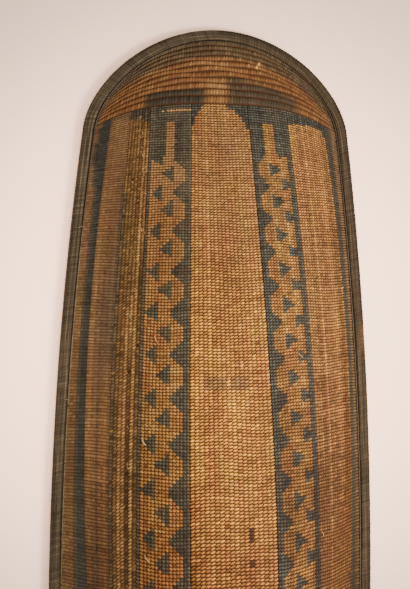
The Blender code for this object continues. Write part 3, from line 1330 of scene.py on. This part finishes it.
@dataclass
class RimBinding:
    """The bundle at the edge, wound with dark strips side by side."""

    form: ShieldForm
    wraps: int = 1060
    steps: int = 3
    sides: int = 16
    seed: int = 71
    strip_widths: Span = (0.7, 1.35)
    groove: float = 0.42 * MM
    slant: float = 2.0 * MM
    squareness: float = 0.72
    fullness: float = 0.985
    unevenness: float = 0.012
    lap: float = 1.4 * MM
    roll_places: Numbers = (-0.70, -0.50, 0.30, 0.50, 0.60, 0.70)
    left_rolls: Numbers = (0.08, 0.02, 0.02, 0.05, 0.10, 0.08)
    right_rolls: Numbers = (0.08, 0.06, 0.06, 0.10, 0.12, 0.08)
    crease_shade: float = 5.0
    middle_tone: float = 0.45
    tone_spread: float = 0.15
    warmth: float = 0.35
    warm_width: float = 60.0 * MM
    torn_middle: float = 0.313
    torn_half: float = 14.0 * MM
    outer_shade: float = 0.7
    inner_shade: float = 0.9
    right_inner_share: float = 0.6
    end_inner: Triple = (0.47, 0.06, 0.6)
    run_stretch: float = 2.3

    def build(self, finish: bpy.types.Material, slot: str) -> bpy.types.Object:
        """Winds the strips round the outline.

        Args:
            finish: The dark raffia's material.
            slot: The record's material slot; not used.

        Returns:
            The finished piece.
        """
        rng = np.random.default_rng(self.seed)
        stations = self.wraps * self.steps
        bm = bmesh.new()
        place = Matrix.Translation((stations / 2, self.sides / 2, 0.0))
        place = place @ Matrix.Diagonal((stations / 2, self.sides / 2, 1.0, 1.0))
        bmesh.ops.create_grid(bm, x_segments=stations, y_segments=self.sides, size=1.0, matrix=place)
        mesh = bpy.data.meshes.new("rim_binding_wraps")
        bm.to_mesh(mesh)
        flat = read_points(mesh)
        tick = np.rint(flat[:, 0]).astype(int) % stations
        wrap, step = tick // self.steps, tick % self.steps
        angle = 2 * math.pi * (np.rint(flat[:, 1]) % self.sides + 0.5) / self.sides
        cos, sin = np.cos(angle), np.sin(angle)
        widths = np.repeat(rng.uniform(*self.strip_widths, self.wraps), self.steps)
        shares = np.concatenate([[0.0], np.cumsum(widths)[:-1]]) / widths.sum()
        path = self.form.ring(self.form.rim_width / 2, shares)
        along = np.roll(path, -1, axis=0) - np.roll(path, 1, axis=0)
        along /= np.linalg.norm(along, axis=1, keepdims=True)
        left = np.interp(path[:, 1], self.roll_places, self.left_rolls)
        right = np.interp(path[:, 1], self.roll_places, self.right_rolls)
        crease = np.where(path[:, 0] < 0, left, right)[tick] * 0.5 * (1 + np.cos(angle * 4))
        swell = self.fullness + self.unevenness * rng.standard_normal(self.wraps)
        swell = np.minimum(swell[wrap], 1.0) - crease
        deep = np.where(step == 0, self.groove, 0.0)
        out = np.sign(cos) * np.abs(cos) ** self.squareness
        up = np.sign(sin) * np.abs(sin) ** self.squareness
        out = out * ((self.form.rim_width / 2 + self.lap * (out < 0)) * swell - deep)
        up = up * (self.form.rim_height / 2 * swell - deep)
        centre = path[tick] + along[tick] * (self.slant * cos)[:, None]
        x = centre[:, 0] + along[tick][:, 1] * out
        y = centre[:, 1] - along[tick][:, 0] * out
        points = np.stack([x, y, self.form.rim_height / 2 + up], axis=1)
        tones = self.middle_tone + self.tone_spread * rng.standard_normal(self.wraps)
        marks = self.wear_and_shade(path[tick], cos, rng)
        # Painted shade: the gaps between wraps and the tops of the creases get a low crest, which the
        # material darkens.
        marks["crest"] = np.where(step == 0, 0.3, 1.0) * (1 - self.crease_shade * crease * (sin > 0.6))
        marks["run"] = shares[tick] * self.form.length * self.run_stretch
        marks["turn"] = angle / 6 + 0.1
        layers = {name: bm.verts.layers.float.new(name) for name in marks}
        for index, (vert, point) in enumerate(zip(bm.verts, points)):
            vert.co = point
            for name, layer in layers.items():
                vert[layer] = marks[name][index]
        tone_layer = bm.faces.layers.float.new("tone")
        for face in bm.faces:
            face[tone_layer] = tones[tick[face.verts[0].index] // self.steps]
        bmesh.ops.remove_doubles(bm, verts=bm.verts, dist=0.02 * MM)
        bmesh.ops.recalc_face_normals(bm, faces=bm.faces)
        bm.to_mesh(mesh)
        bm.free()
        mesh.shade_smooth()
        return add_piece("rim_binding_wraps", mesh, finish, ("rim_binding",))

    def wear_and_shade(self, place: Array, cos: Array, rng: np.random.Generator) -> dict[str, Array]:
        """Says where the binding is warm, shaded and torn.

        Args:
            place: Rows of x and y on the rim's centre line.
            cos: How far outwards each point faces, -1 to 1.
            rng: The seeded source of numbers.

        Returns:
            The warm, outer and torn marks of each point.
        """
        right = place[:, 0] > 0
        warm = np.clip(place[:, 0] / self.warm_width, 0, 1) * np.clip(0.75 - cos, 0, 1)
        torn = np.exp(-(((place[:, 1] - self.torn_middle) / self.torn_half) ** 4)) * right
        torn = torn * np.clip((cos + 0.1) * 2, 0, 1) * rng.uniform(0.2, 1.0, len(cos))
        edge = np.clip((cos - np.where(right, 0.05, 0.7)) / 0.3, 0, 1)
        start, length, share = self.end_inner
        inner = 1 - share * np.clip((np.abs(place[:, 1]) - start) / length, 0, 1)
        inner = inner * np.clip((-cos - 0.6) / 0.3, 0, 1) * np.where(right, self.right_inner_share, 1.0)
        shaded = np.maximum(self.outer_shade * edge * (1 - torn), self.inner_shade * inner)
        return {"warm": self.warmth * warm, "outer": shaded, "torn": torn}


def sweep(
    bm: bmesh.types.BMesh,
    path: Array,
    ups: Array,
    size: Span,
    sides: int,
    closed: bool,
    taper: Array | None = None,
) -> None:
    """Carries a round or oval section along a path and closes or caps it.

    Args:
        bm: The mesh that it is added to.
        path: Points as rows.
        ups: An up vector at each point.
        size: The section's width and height.
        sides: How many sides it has.
        closed: Whether the path runs back into its start.
        taper: The section's scale at each point.
    """
    step = np.roll(path, -1, axis=0) - np.roll(path, 1, axis=0)
    if not closed:
        step[0], step[-1] = path[1] - path[0], path[-1] - path[-2]
    step /= np.linalg.norm(step, axis=1, keepdims=True)
    side = np.cross(step, ups)
    side /= np.linalg.norm(side, axis=1, keepdims=True)
    up = np.cross(side, step)
    scale = np.ones(len(path)) if taper is None else taper
    half_turn = Matrix.Rotation(math.pi / sides - math.pi / 2, 4, "Z")
    rings = []
    for i, point in enumerate(path):
        axes = np.stack([side[i] * size[0] * scale[i] / 2, up[i] * size[1] * scale[i] / 2, step[i]], axis=1)
        place = Matrix.Translation(Vector(point)) @ Matrix(axes.tolist()).to_4x4() @ half_turn
        verts = bmesh.ops.create_circle(bm, segments=sides, radius=1.0, matrix=place)["verts"]
        rings.append(list(dict.fromkeys(edge for vert in verts for edge in vert.link_edges)))
    pairs = list(zip(rings, rings[1:]))
    if closed:
        pairs.append((rings[-1], rings[0]))
    else:
        bmesh.ops.contextual_create(bm, geom=rings[0])
        bmesh.ops.contextual_create(bm, geom=rings[-1])
    for first, second in pairs:
        bmesh.ops.bridge_loops(bm, edges=first + second)


def to_mesh(bm: bmesh.types.BMesh, name: str) -> bpy.types.Mesh:
    """Turns a bmesh into a smooth mesh with its faces pointing out."""
    bmesh.ops.recalc_face_normals(bm, faces=bm.faces)
    mesh = bpy.data.meshes.new(name)
    bm.to_mesh(mesh)
    bm.free()
    mesh.shade_smooth()
    return mesh


@dataclass
class EdgingCane:
    """The split cane that lies on the weave inside the rim, tied down here and there."""

    form: ShieldForm
    inset: float = 12.9 * MM
    diameter: float = 1.7 * MM
    stations: int = 420
    sides: int = 8
    ties: int = 40
    tie_strand: float = 0.8 * MM
    tie_sides: int = 5
    tie_points: int = 8
    tie_turns: int = 2
    tie_places: Span = (0.15, 0.85)
    tie_spread: float = 0.2
    tie_pitch: float = 1.3
    tie_age: float = 0.75
    seat: float = 0.5 * MM
    pale_length: float = 390.0 * MM
    pale_soft: float = 60.0 * MM
    right_age: float = 0.8
    seed: int = 17

    def build(self, finish: bpy.types.Material, slot: str) -> bpy.types.Object:
        """Bends the cane along the rim.

        Args:
            finish: The cane's material.
            slot: The record's material slot; not used.

        Returns:
            The finished piece.
        """
        bm = bmesh.new()
        path = self.path()
        ups = np.tile([0.0, 0.0, 1.0], (self.stations, 1))
        sweep(bm, path, ups, (self.diameter, self.diameter), self.sides, True)
        mesh = to_mesh(bm, "edging_cane_strip")
        points = read_points(mesh)
        aged = np.clip((np.abs(points[:, 1]) - self.pale_length) / self.pale_soft, 0, 1)
        aged = np.where(points[:, 0] < 0, aged, np.maximum(aged, self.right_age))
        new_attribute(mesh, "aged", "POINT", aged)
        return add_piece("edging_cane_strip", mesh, finish, ("edging_cane",))

    def path(self) -> Array:
        """Gives the cane's centre line."""
        plan = self.form.ring(self.inset, np.linspace(0, 1, self.stations, endpoint=False))
        height = self.form.edge_top + self.diameter / 2 + self.seat
        return np.column_stack([plan, np.full(self.stations, height)])

    def tie(self, finish: bpy.types.Material, slot: str) -> bpy.types.Object:
        """Winds the ties round the cane at uneven steps.

        Args:
            finish: The dark raffia's material.
            slot: The record's material slot; not used.

        Returns:
            The finished piece.
        """
        rng = np.random.default_rng(self.seed)
        path = self.path()
        bm = bmesh.new()
        angle = np.linspace(0, 2 * math.pi, self.tie_points, endpoint=False)
        reach = self.diameter / 2 + self.tie_strand * 0.4
        size = (self.tie_strand, self.tie_strand)
        for tie in range(self.ties):
            at = int((tie + rng.uniform(*self.tie_places)) * self.stations / self.ties) % self.stations
            along = path[(at + 1) % self.stations] - path[at]
            along /= np.linalg.norm(along)
            side = np.cross(along, (0.0, 0.0, 1.0))
            for turn in range(self.tie_turns):
                steps = (turn + rng.uniform(-self.tie_spread, self.tie_spread)) * self.tie_pitch
                loop = path[at] + along * self.tie_strand * steps + np.outer(np.cos(angle) * reach, side)
                loop = loop + np.outer(np.sin(angle) * reach, (0.0, 0.0, 1.0))
                sweep(bm, loop, np.tile(along, (self.tie_points, 1)), size, self.tie_sides, True)
        mesh = to_mesh(bm, "edging_cane_ties")
        new_attribute(mesh, "aged", "POINT", np.full(len(mesh.vertices), self.tie_age))
        return add_piece("edging_cane_ties", mesh, finish, ("edging_cane",))


@dataclass(frozen=True)
class Strand:
    """One loose strand: where it starts on the shield, where it heads, its length and how far it bows."""

    share: float
    y: float
    heading: float
    length: float
    bow: float
    thickness: float = 0.9 * MM


@dataclass
class LooseFibres:
    """Broken strands that stand off the weave: many small ones on the worn welt, and a few long ones."""

    form: ShieldForm
    seed: int = 5
    welt_count: int = 150
    welt_half: float = 530.0 * MM
    welt_share: float = -0.64
    end_shift: float = 0.04
    share_spread: float = 0.028
    headings: Triple = (62.0, 90.0, 120.0)
    heading_spread: float = 14.0
    lengths: Span = (2.5, 5.0)
    thicknesses: Span = (0.45, 0.75)
    bow: float = 0.7
    points: int = 6
    sides: int = 5
    lift: float = 0.9 * MM
    bow_lift: float = 1.4 * MM
    tapering: float = 0.55
    flatness: float = 0.7
    singles: tuple[Strand, ...] = (
        Strand(-0.540, 0.2170, -84.0, 9 * MM, 1.0, 1.9 * MM),
        Strand(-0.520, 0.1000, -60.0, 9 * MM, 0.6, 1.3 * MM),
        Strand(-0.480, 0.3200, -88.0, 9 * MM, 0.9, 1.0 * MM),
        Strand(0.470, 0.3020, -65.0, 9 * MM, 1.6, 0.9 * MM),
        Strand(0.628, 0.1080, 95.0, 7 * MM, 0.8, 0.9 * MM),
        Strand(0.482, 0.2450, 80.0, 8 * MM, 1.0, 0.9 * MM),
        Strand(-0.985, 0.4300, 195.0, 11 * MM, 1.2, 0.5 * MM),
        Strand(-0.985, 0.2480, 170.0, 8 * MM, 1.2, 0.5 * MM),
    )

    def build(self, finish: bpy.types.Material, slot: str) -> bpy.types.Object:
        """Lays the strands.

        Args:
            finish: Their material.
            slot: The record's material slot; not used.

        Returns:
            The finished piece.
        """
        rng = np.random.default_rng(self.seed)
        strands = list(self.singles)
        for _ in range(self.welt_count):
            y = rng.uniform(-self.welt_half, self.welt_half)
            near_end = np.clip((abs(y) - 0.3) / 0.2, 0, 1)
            share = self.welt_share + self.end_shift * near_end + rng.normal(0, self.share_spread)
            heading = rng.choice(self.headings) + rng.normal(0, self.heading_spread)
            length = rng.uniform(*self.lengths) * MM
            strands.append(Strand(share, y, heading, length, self.bow, rng.uniform(*self.thicknesses) * MM))
        bm = bmesh.new()
        for strand in strands:
            self.add(bm, strand)
        mesh = to_mesh(bm, "loose_raffia_strands")
        return add_piece("loose_raffia_strands", mesh, finish, ("woven_body",))

    def add(self, bm: bmesh.types.BMesh, strand: Strand) -> None:
        """Adds one strand as a bowed, tapering tube.

        Args:
            bm: The mesh that it is added to.
            strand: The strand.
        """
        t = np.linspace(0, 1, self.points)
        turn = math.radians(strand.heading) + 0.5 * strand.bow * (t - 0.5)
        y = strand.y + strand.length * t * np.sin(turn)
        x = strand.share * self.form.half_width(np.full(1, strand.y))[0] + strand.length * t * np.cos(turn)
        rise = self.lift + strand.bow * self.bow_lift * np.sin(np.pi * t)
        inside = np.minimum(np.abs(x), self.form.half_width(y)) * np.sign(x)
        normal = self.form.normal(inside, y)
        path = np.stack([x, y, self.form.dome(inside, y)], axis=1) + normal * rise[:, None]
        taper = 1 - self.tapering * np.abs(2 * t - 1) ** 3
        size = (strand.thickness, strand.thickness * self.flatness)
        sweep(bm, path, normal, size, self.sides, False, taper)


@dataclass
class HandGrip:
    """The bowed wooden grip behind the middle, thicker where the hand closes on it."""

    form: ShieldForm
    span: float = 220.0 * MM
    foot: float = 50.0 * MM
    hold: float = 90.0 * MM
    reach: float = 45.0 * MM
    width: float = 24.0 * MM
    thickness: float = 15.0 * MM
    gap: float = 0.6 * MM
    stations: int = 61
    sides: int = 16
    belly: float = 0.06
    end_scales: Span = (0.7, 0.92)
    cord: float = 2.8 * MM
    cord_turns: int = 10
    cord_pitch: float = 1.03
    cord_slant: float = 0.3
    cord_points: int = 15
    cord_sides: int = 7
    cord_wrap: Span = (0.12, -1.12)

    def line(self, y: Array) -> Array:
        """Gives the height of the grip's centre along Y."""
        foot_start = (self.span - self.foot) / 2
        away = np.clip((foot_start - np.abs(y)) / (foot_start - self.hold / 2), 0, 1)
        away = away * away * (3 - 2 * away)
        under = self.form.crown(y) - self.form.wall - self.gap - self.thickness / 2
        return under - self.reach * away

    def build(self, finish: bpy.types.Material, slot: str) -> bpy.types.Object:
        """Carves the grip.

        Args:
            finish: The wood's material.
            slot: The record's material slot; not used.

        Returns:
            The finished piece.
        """
        end = (self.span + self.foot) / 2
        y = np.linspace(-end, end, self.stations)
        path = np.column_stack([np.zeros_like(y), y, self.line(y)])
        ups = np.tile([0.0, 0.0, 1.0], (self.stations, 1))
        swell = 1 - self.belly * (1 - np.exp(-((y / (0.4 * self.hold)) ** 2)))
        swell[[0, -1]] *= self.end_scales[0]
        swell[[1, -2]] *= self.end_scales[1]
        bm = bmesh.new()
        sweep(bm, path, ups, (self.width, self.thickness), self.sides, False, swell)
        return add_piece("hand_grip_bar", to_mesh(bm, "hand_grip_bar"), finish, ("hand_grip",))

    def lash(
        self, name: str, node: str, centre_y: float, finish: bpy.types.Material, slot: str
    ) -> bpy.types.Object:
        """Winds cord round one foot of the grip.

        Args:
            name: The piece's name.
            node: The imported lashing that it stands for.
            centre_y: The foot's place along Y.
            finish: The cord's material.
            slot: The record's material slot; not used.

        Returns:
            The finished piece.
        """
        bm = bmesh.new()
        angle = np.linspace(*self.cord_wrap, self.cord_points) * math.pi
        across = np.cos(angle) * (self.width + self.cord) / 2
        down = np.sin(angle) * (self.thickness + self.cord) / 2
        slant = np.linspace(-self.cord_slant, self.cord_slant, self.cord_points) * self.cord
        ups = np.tile([0.0, 1.0, 0.0], (self.cord_points, 1))
        size = (self.cord, self.cord)
        for turn in range(self.cord_turns):
            y = centre_y + (turn - (self.cord_turns - 1) / 2) * self.cord * self.cord_pitch
            middle = float(self.line(np.array([y]))[0])
            path = np.column_stack([across, y + slant, middle + down])
            sweep(bm, path, ups, size, self.cord_sides, False)
        return add_piece(name, to_mesh(bm, name), finish, (node,))


@dataclass
class Studio:
    """The pale floor, the soft lights and the camera at the photograph's angle."""

    side_angle: float = 10.5
    end_angle: float = -1.54
    roll: float = 0.48
    distance: float = 1.3
    lens: float = 73.9
    target: Triple = (-0.0107, 0.3588, 0.0)
    glow_middle: Triple = (0.0, 0.32, 0.0)
    glow_reach: Span = (0.15, 0.43)
    glow: Span = (3.2, 0.20)
    shade: float = 1.0
    shade_side: float = 120.0 * MM
    shade_reach: float = 45.0 * MM
    clip: Span = (0.05, 20.0)
    light_aim: Triple = (0.0, 0.25, 0.05)
    floor_half: float = 6.0
    floor_gap: float = 0.4 * MM
    floor_colour: str = "#efdacf"
    floor_glow: str = "#ffc8a2"
    room_colour: str = "#f1e9e6"
    room_strength: float = 0.55

    def add_camera(self) -> None:
        """Looks down on the upper half of the shield, from a little to its left."""
        side, end = math.radians(self.side_angle), math.radians(self.end_angle)
        forward = Vector((math.sin(side) * math.cos(end), math.sin(end), -math.cos(side) * math.cos(end)))
        right = forward.cross(Vector((0.0, 1.0, 0.0))).normalized()
        up = right.cross(forward)
        turn = Matrix.Rotation(math.radians(self.roll), 3, -forward)
        right, up = turn @ right, turn @ up
        data = bpy.data.cameras.new("camera")
        data.lens = self.lens
        data.sensor_width = SENSOR
        data.clip_start, data.clip_end = self.clip
        camera = bpy.data.objects.new("camera", data)
        basis = Matrix((right, up, -forward)).transposed().to_4x4()
        camera.matrix_world = Matrix.Translation(Vector(self.target) - forward * self.distance) @ basis
        bpy.context.scene.collection.objects.link(camera)
        bpy.context.scene.camera = camera

    def add_light(self, name: str, place: Triple, size: float, watts: float, colour: str) -> None:
        """Adds one square soft light aimed at the shield.

        Args:
            name: The light's name.
            place: Where it stands.
            size: Its side in metres.
            watts: Its power.
            colour: Its sRGB hex colour.
        """
        data = bpy.data.lights.new(name, "AREA")
        data.size = size
        data.energy = watts
        data.color = srgb(colour)[:3]
        light = bpy.data.objects.new(name, data)
        light.location = place
        aim = Vector(self.light_aim) - Vector(place)
        light.rotation_mode = "QUATERNION"
        light.rotation_quaternion = aim.to_track_quat("-Z", "Y")
        bpy.context.scene.collection.objects.link(light)

    def add_floor(self) -> None:
        """Lays the pale cloth under the rim.

        It glows round the shield like a bright ground: its emission is painted light, dimmed by ambient
        occlusion into a painted shadow at its left.
        """
        bm = bmesh.new()
        lowered = Matrix.Translation((0.0, 0.0, -self.floor_gap))
        bmesh.ops.create_grid(bm, x_segments=1, y_segments=1, size=self.floor_half, matrix=lowered)
        mesh = bpy.data.meshes.new("floor")
        bm.to_mesh(mesh)
        bm.free()
        made, tree, shader = new_material("lit white cloth")
        place = add_node(tree, "ShaderNodeTexCoord").outputs["Object"]
        # Painted pool of light: the glow is strongest near glow_middle and fades out across glow_reach.
        away = add_node(tree, "ShaderNodeVectorMath", {"operation": "DISTANCE"}, [place, self.glow_middle])
        spread = [away.outputs["Value"], *self.glow_reach, *self.glow]
        glow = add_node(tree, "ShaderNodeMapRange", SMOOTH, spread)
        across = add_node(tree, "ShaderNodeSeparateXYZ", {}, [place])
        # Painted shadow: towards the left the glow is dimmed by ambient occlusion near the shield.
        beside = add_node(tree, "ShaderNodeMapRange", SMOOTH, [across, 0.0, self.shade_side, self.shade, 0.0])
        near = {"Distance": self.shade_reach}
        painted_contact_shadow = add_node(tree, "ShaderNodeAmbientOcclusion", {"samples": 16}, near)
        shares = {0: beside, 2: 1.0, 3: painted_contact_shadow.outputs["AO"]}
        shaded = add_node(tree, "ShaderNodeMix", {"data_type": "FLOAT"}, shares)
        inputs = {
            "Base Color": srgb(self.floor_colour),
            "Roughness": 0.9,
            "Specular IOR Level": 0.0,
            "Emission Color": srgb(self.floor_glow),
            "Emission Strength": add_node(tree, "ShaderNodeMath", TIMES, [glow, shaded]),
        }
        feed(tree, shader, inputs)
        mesh.materials.append(made)
        floor = bpy.data.objects.new("floor", mesh)
        bpy.context.scene.collection.objects.link(floor)

    def add_world(self) -> None:
        """Sets the weak, even light of the room."""
        world = bpy.data.worlds.new("room")
        world.use_nodes = True
        ground = world.node_tree.nodes["Background"]
        feed(world.node_tree, ground, {"Color": srgb(self.room_colour), "Strength": self.room_strength})
        bpy.context.scene.world = world

    def build(self) -> None:
        """Sets up the whole studio."""
        self.add_world()
        self.add_floor()
        self.add_light("key", (0.80, 0.10, 1.10), 0.45, 31.0, "#ffecd6")
        self.add_light("fill", (-0.9, 0.6, 1.7), 1.4, 8.0, "#f8f1ec")


def weave_seams() -> dict[str, Seam]:
    """Names the lines between the zones, as shares of the half width read off the photograph."""
    return {
        "left_rim": Seam(-1.0, -1.0, -1.0),
        "left_flank": Seam(-0.812, -0.885, -0.865),
        "left_welt": Seam(-0.700, -0.738, -0.715),
        "left_band": Seam(-0.560, -0.575, -0.563),
        "left_centre": Seam(-0.252, -0.266, -0.246),
        "right_centre": Seam(0.292, 0.260, 0.205),
        "right_band": Seam(0.605, 0.592, 0.535),
        "right_flank": Seam(0.890, 0.935, 0.872),
        "right_rim": Seam(1.0, 1.0, 1.0),
    }


def left_chain() -> Chain:
    """Sets out the chain of the left band."""
    return Chain(
        repeat_rows=13.75,
        first_hole_row=149.3,
        inner_line=1.9,
        inner_tooth=Tooth(1.9, 3.6, 4.7, 1.1, 0.7),
        hole=Tooth(6.1, 3.5, 3.3, 0.5),
        outer_tooth=Tooth(9.9, 3.7, 3.5, 0.1, 0.6),
        outer_line=13.6,
        bar=(6.2, 9.4),
        ground_row=156.4,
    )


def right_chain() -> Chain:
    """Sets out the chain of the right band."""
    return Chain(
        repeat_rows=12.15,
        first_hole_row=151.5,
        inner_line=1.8,
        inner_tooth=Tooth(1.8, 3.1, 3.9, 0.6),
        hole=Tooth(5.9, 3.6, 3.1, 0.5),
        outer_tooth=Tooth(10.1, 3.2, 2.2, 0.9, -0.6),
        outer_line=13.2,
        bar=(5.4, 9.0),
    )


def zone_looks() -> dict[str, dict[str, Any]]:
    """Gives what sets each zone of the weave apart, by the zone's name."""
    return {
        "weave_left_margin": {
            "base_tone": 0.64,
            "streaks": 0.06,
            "column_groove": 0.8,
            "row_groove": 0.45,
            "top_widening": 1.7,
            "stripe_columns": 3.0,
            "margin_dyes": (0.1, 0.28),
            "tone_and_painted_falloff": (-0.1, 0.0, 0.05, 0.0, -0.2, -0.4),
            "dulling": UNWORN,
        },
        "weave_left_flank": {
            "streaks": 0.06,
            "column_groove": 0.8,
            "row_groove": 0.32,
            "end_closing": 0.2,
            "end_rows": (173.0, 176.0),
            "end_dye": 0.35,
            "stain": 0.6,
            "mottling": 0.75,
            "tone_and_painted_falloff": (-0.34, -0.1, 0.2, 0.18, -0.14, -0.42),
        },
        "weave_left_welt": {
            "slant": 0.7,
            "streaks": 0.1,
            "column_groove": 0.1,
            "row_groove": 0.4,
            "end_closing": 0.0,
            "end_rows": (171.0, 173.0),
            "corner_columns": 0.1,
            "tone_and_painted_falloff": (-0.2, -0.12, 0.0, 0.0, -0.12, -0.18),
            "dulling": UNWORN,
        },
        "weave_left_band": {
            "chain": left_chain(),
            "strength": 0.97,
            "column_groove": 0.24,
            "end_closing": 0.2,
            "tone_and_painted_falloff": (-0.14, -0.08, 0.1, 0.08, -0.14, -0.26),
            "dulling": (0.0, 0.0, 0.05, 0.15, 0.4, 0.55),
        },
        "weave_centre": {"streaks": 0.06, "dulling": (0.0, 0.0, 0.0, 0.06, 0.28, 0.42)},
        "weave_right_band": {"chain": right_chain(), "tone_and_painted_falloff": (-0.25, -0.22, -0.10, 0.04, 0.0, -0.05)},
        "weave_right_flank": {
            "streaks": 0.085,
            "end_closing": 0.1,
            "tone_and_painted_falloff": (-0.56, -0.54, -0.36, -0.14, -0.1, -0.08),
            "dulling": (0.0, 0.0, 0.04, 0.1, 0.14, 0.2),
        },
        "weave_right_margin": {
            "base_tone": 0.42,
            "column_groove": 0.7,
            "stripe_columns": 3.0,
            "margin_dyes": (0.25, 0.5),
        },
    }


def raffia_materials() -> dict[str, bpy.types.Material]:
    """Makes the raffia's materials.

    Returns:
        Them by palette and side, as in "worn left"; the side says which way the strips lean.
    """
    palettes = {
        "field": Palette("#6c3c16", "#b67a38", "#ffb84a", "#272b28", "#62675c", "#200c03", 1.75),
        "flank": Palette("#614020", "#b0793e", "#f4b552", "#282b27", "#61655b", "#220f05", 1.7),
        "bands": Palette("#5a3a1a", "#a27036", "#ecb254", "#272b27", "#5f655b", "#220e04", 1.5),
        "faded": Palette("#6c3e1c", "#b2763c", "#e6ae62", "#2e312a", "#6c6f5b", "#361e0d", 1.35),
        # Worn: darker and duller than the flank palette, partly the raffia's wear and partly painted shade
        # for the left flank, which faces away from the light.
        "worn": Palette("#52361e", "#8a633b", "#b88c59", "#2b2c27", "#55564c", "#33220f", 1.25),
        "welt": Palette("#5a3f24", "#87643a", "#c0955c", "#36332a", "#696553", "#38250f", 1.25),
        "ends": Palette("#5a371b", "#855a34", "#b28a5a", "#302f27", "#706549", "#41260f", 1.12),
    }
    turns = {"left": 35.0, "right": -35.0}
    looks = [f"{name} right" for name in palettes if name != "faded"] + ["faded left", "worn left"]
    made = {}
    for look in looks:
        name, side = look.split()
        made[look] = RaffiaFinish(f"twined raffia {look}", palettes[name], turns[side]).material()
    return made


def build_weave(form: ShieldForm) -> None:
    """Builds the eight zones of fine weave and the two ribbed ends.

    Args:
        form: The shield's form.
    """
    finishes, seams, looks, rows = raffia_materials(), weave_seams(), zone_looks(), Rows()
    zones = (
        (Margin, "weave_left_margin", Side.LEFT, 6, "left_rim", "left_flank", "worn left"),
        (Flank, "weave_left_flank", Side.LEFT, 9, "left_flank", "left_welt", "worn left"),
        (Welt, "weave_left_welt", Side.LEFT, 7, "left_welt", "left_band", "welt right"),
        (ChainBand, "weave_left_band", Side.LEFT, 15, "left_band", "left_centre", "faded left"),
        (CentreField, "weave_centre", Side.MIDDLE, 18, "left_centre", "right_centre", "field right"),
        (ChainBand, "weave_right_band", Side.RIGHT, 15, "right_centre", "right_band", "bands right"),
        (Flank, "weave_right_flank", Side.RIGHT, 15, "right_band", "right_flank", "flank right"),
        (Margin, "weave_right_margin", Side.RIGHT, 6, "right_flank", "right_rim", "worn right"),
    )
    for seed, (kind, name, side, columns, start, finish, look) in enumerate(zones, FIRST_ZONE_SEED):
        own = {"slant": -0.55 if side is Side.LEFT else 0.75} | looks[name]
        zone = kind(name, side, columns, seams[start], seams[finish], rows, form, seed, **own)
        zone.build(finishes[look], "natural_raffia")
    for name, direction in (("woven_upper_end", 1), ("woven_lower_end", -1)):
        end = WovenEnd(name, direction, form, END_SEED + direction)
        end.build(finishes["ends right"], "natural_raffia")


def main() -> None:
    """Builds the shield's pieces in order."""
    logging.basicConfig(level=logging.INFO, format="%(name)s %(message)s")
    low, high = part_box("rim_binding")
    form = ShieldForm(high.y - low.y, high.x - low.x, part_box("woven_body")[1].z, high.z)
    studio = Studio()
    studio.add_camera()
    build_weave(form)
    RimBinding(form).build(WrapFinish().material(), "dark_raffia")
    # Smooth and faintly shiny, greyed, and nearly as dark as the rim where it has aged
    split = StickFinish("split cane", "#41361f", "#6c5f42", (5.0, 5.0, 6.0), 0.5, 0.1, aged="#33281a")
    # Pale straw: the inside of the strip, laid bare where it broke
    fibre = StickFinish("loose raffia strand", "#9a7442", "#dcb57c", (1.5, 1.5, 1.5), 0.6, 0.1, "#6b4a26")
    # Warm brown with its grain along the grip, rubbed smooth by the hand
    wood = StickFinish("carved wood", "#5a371c", "#9a6a3c", (2.2, 60.0, 2.2), 0.5, 0.2)
    # Dull straw brown with a coarse, fibrous surface
    cord = StickFinish("twisted fibre cord", "#6b4d2a", "#b48c58", (1.2, 1.2, 0.8), 0.75, 0.3)
    cane, split_cane = EdgingCane(form), split.material()
    cane.build(split_cane, "split_cane")
    cane.tie(split_cane, "split_cane")
    LooseFibres(form).build(fibre.material(), "natural_raffia")
    grip, twisted = HandGrip(form), cord.material()
    grip.build(wood.material(), "carved_wood")
    for name, sign in (("upper_grip_lashing", 1), ("lower_grip_lashing", -1)):
        grip.lash(name + "_cord", name, sign * grip.span / 2, twisted, "fibre_cord")
    studio.build()


if __name__ == "__main__":
    main()
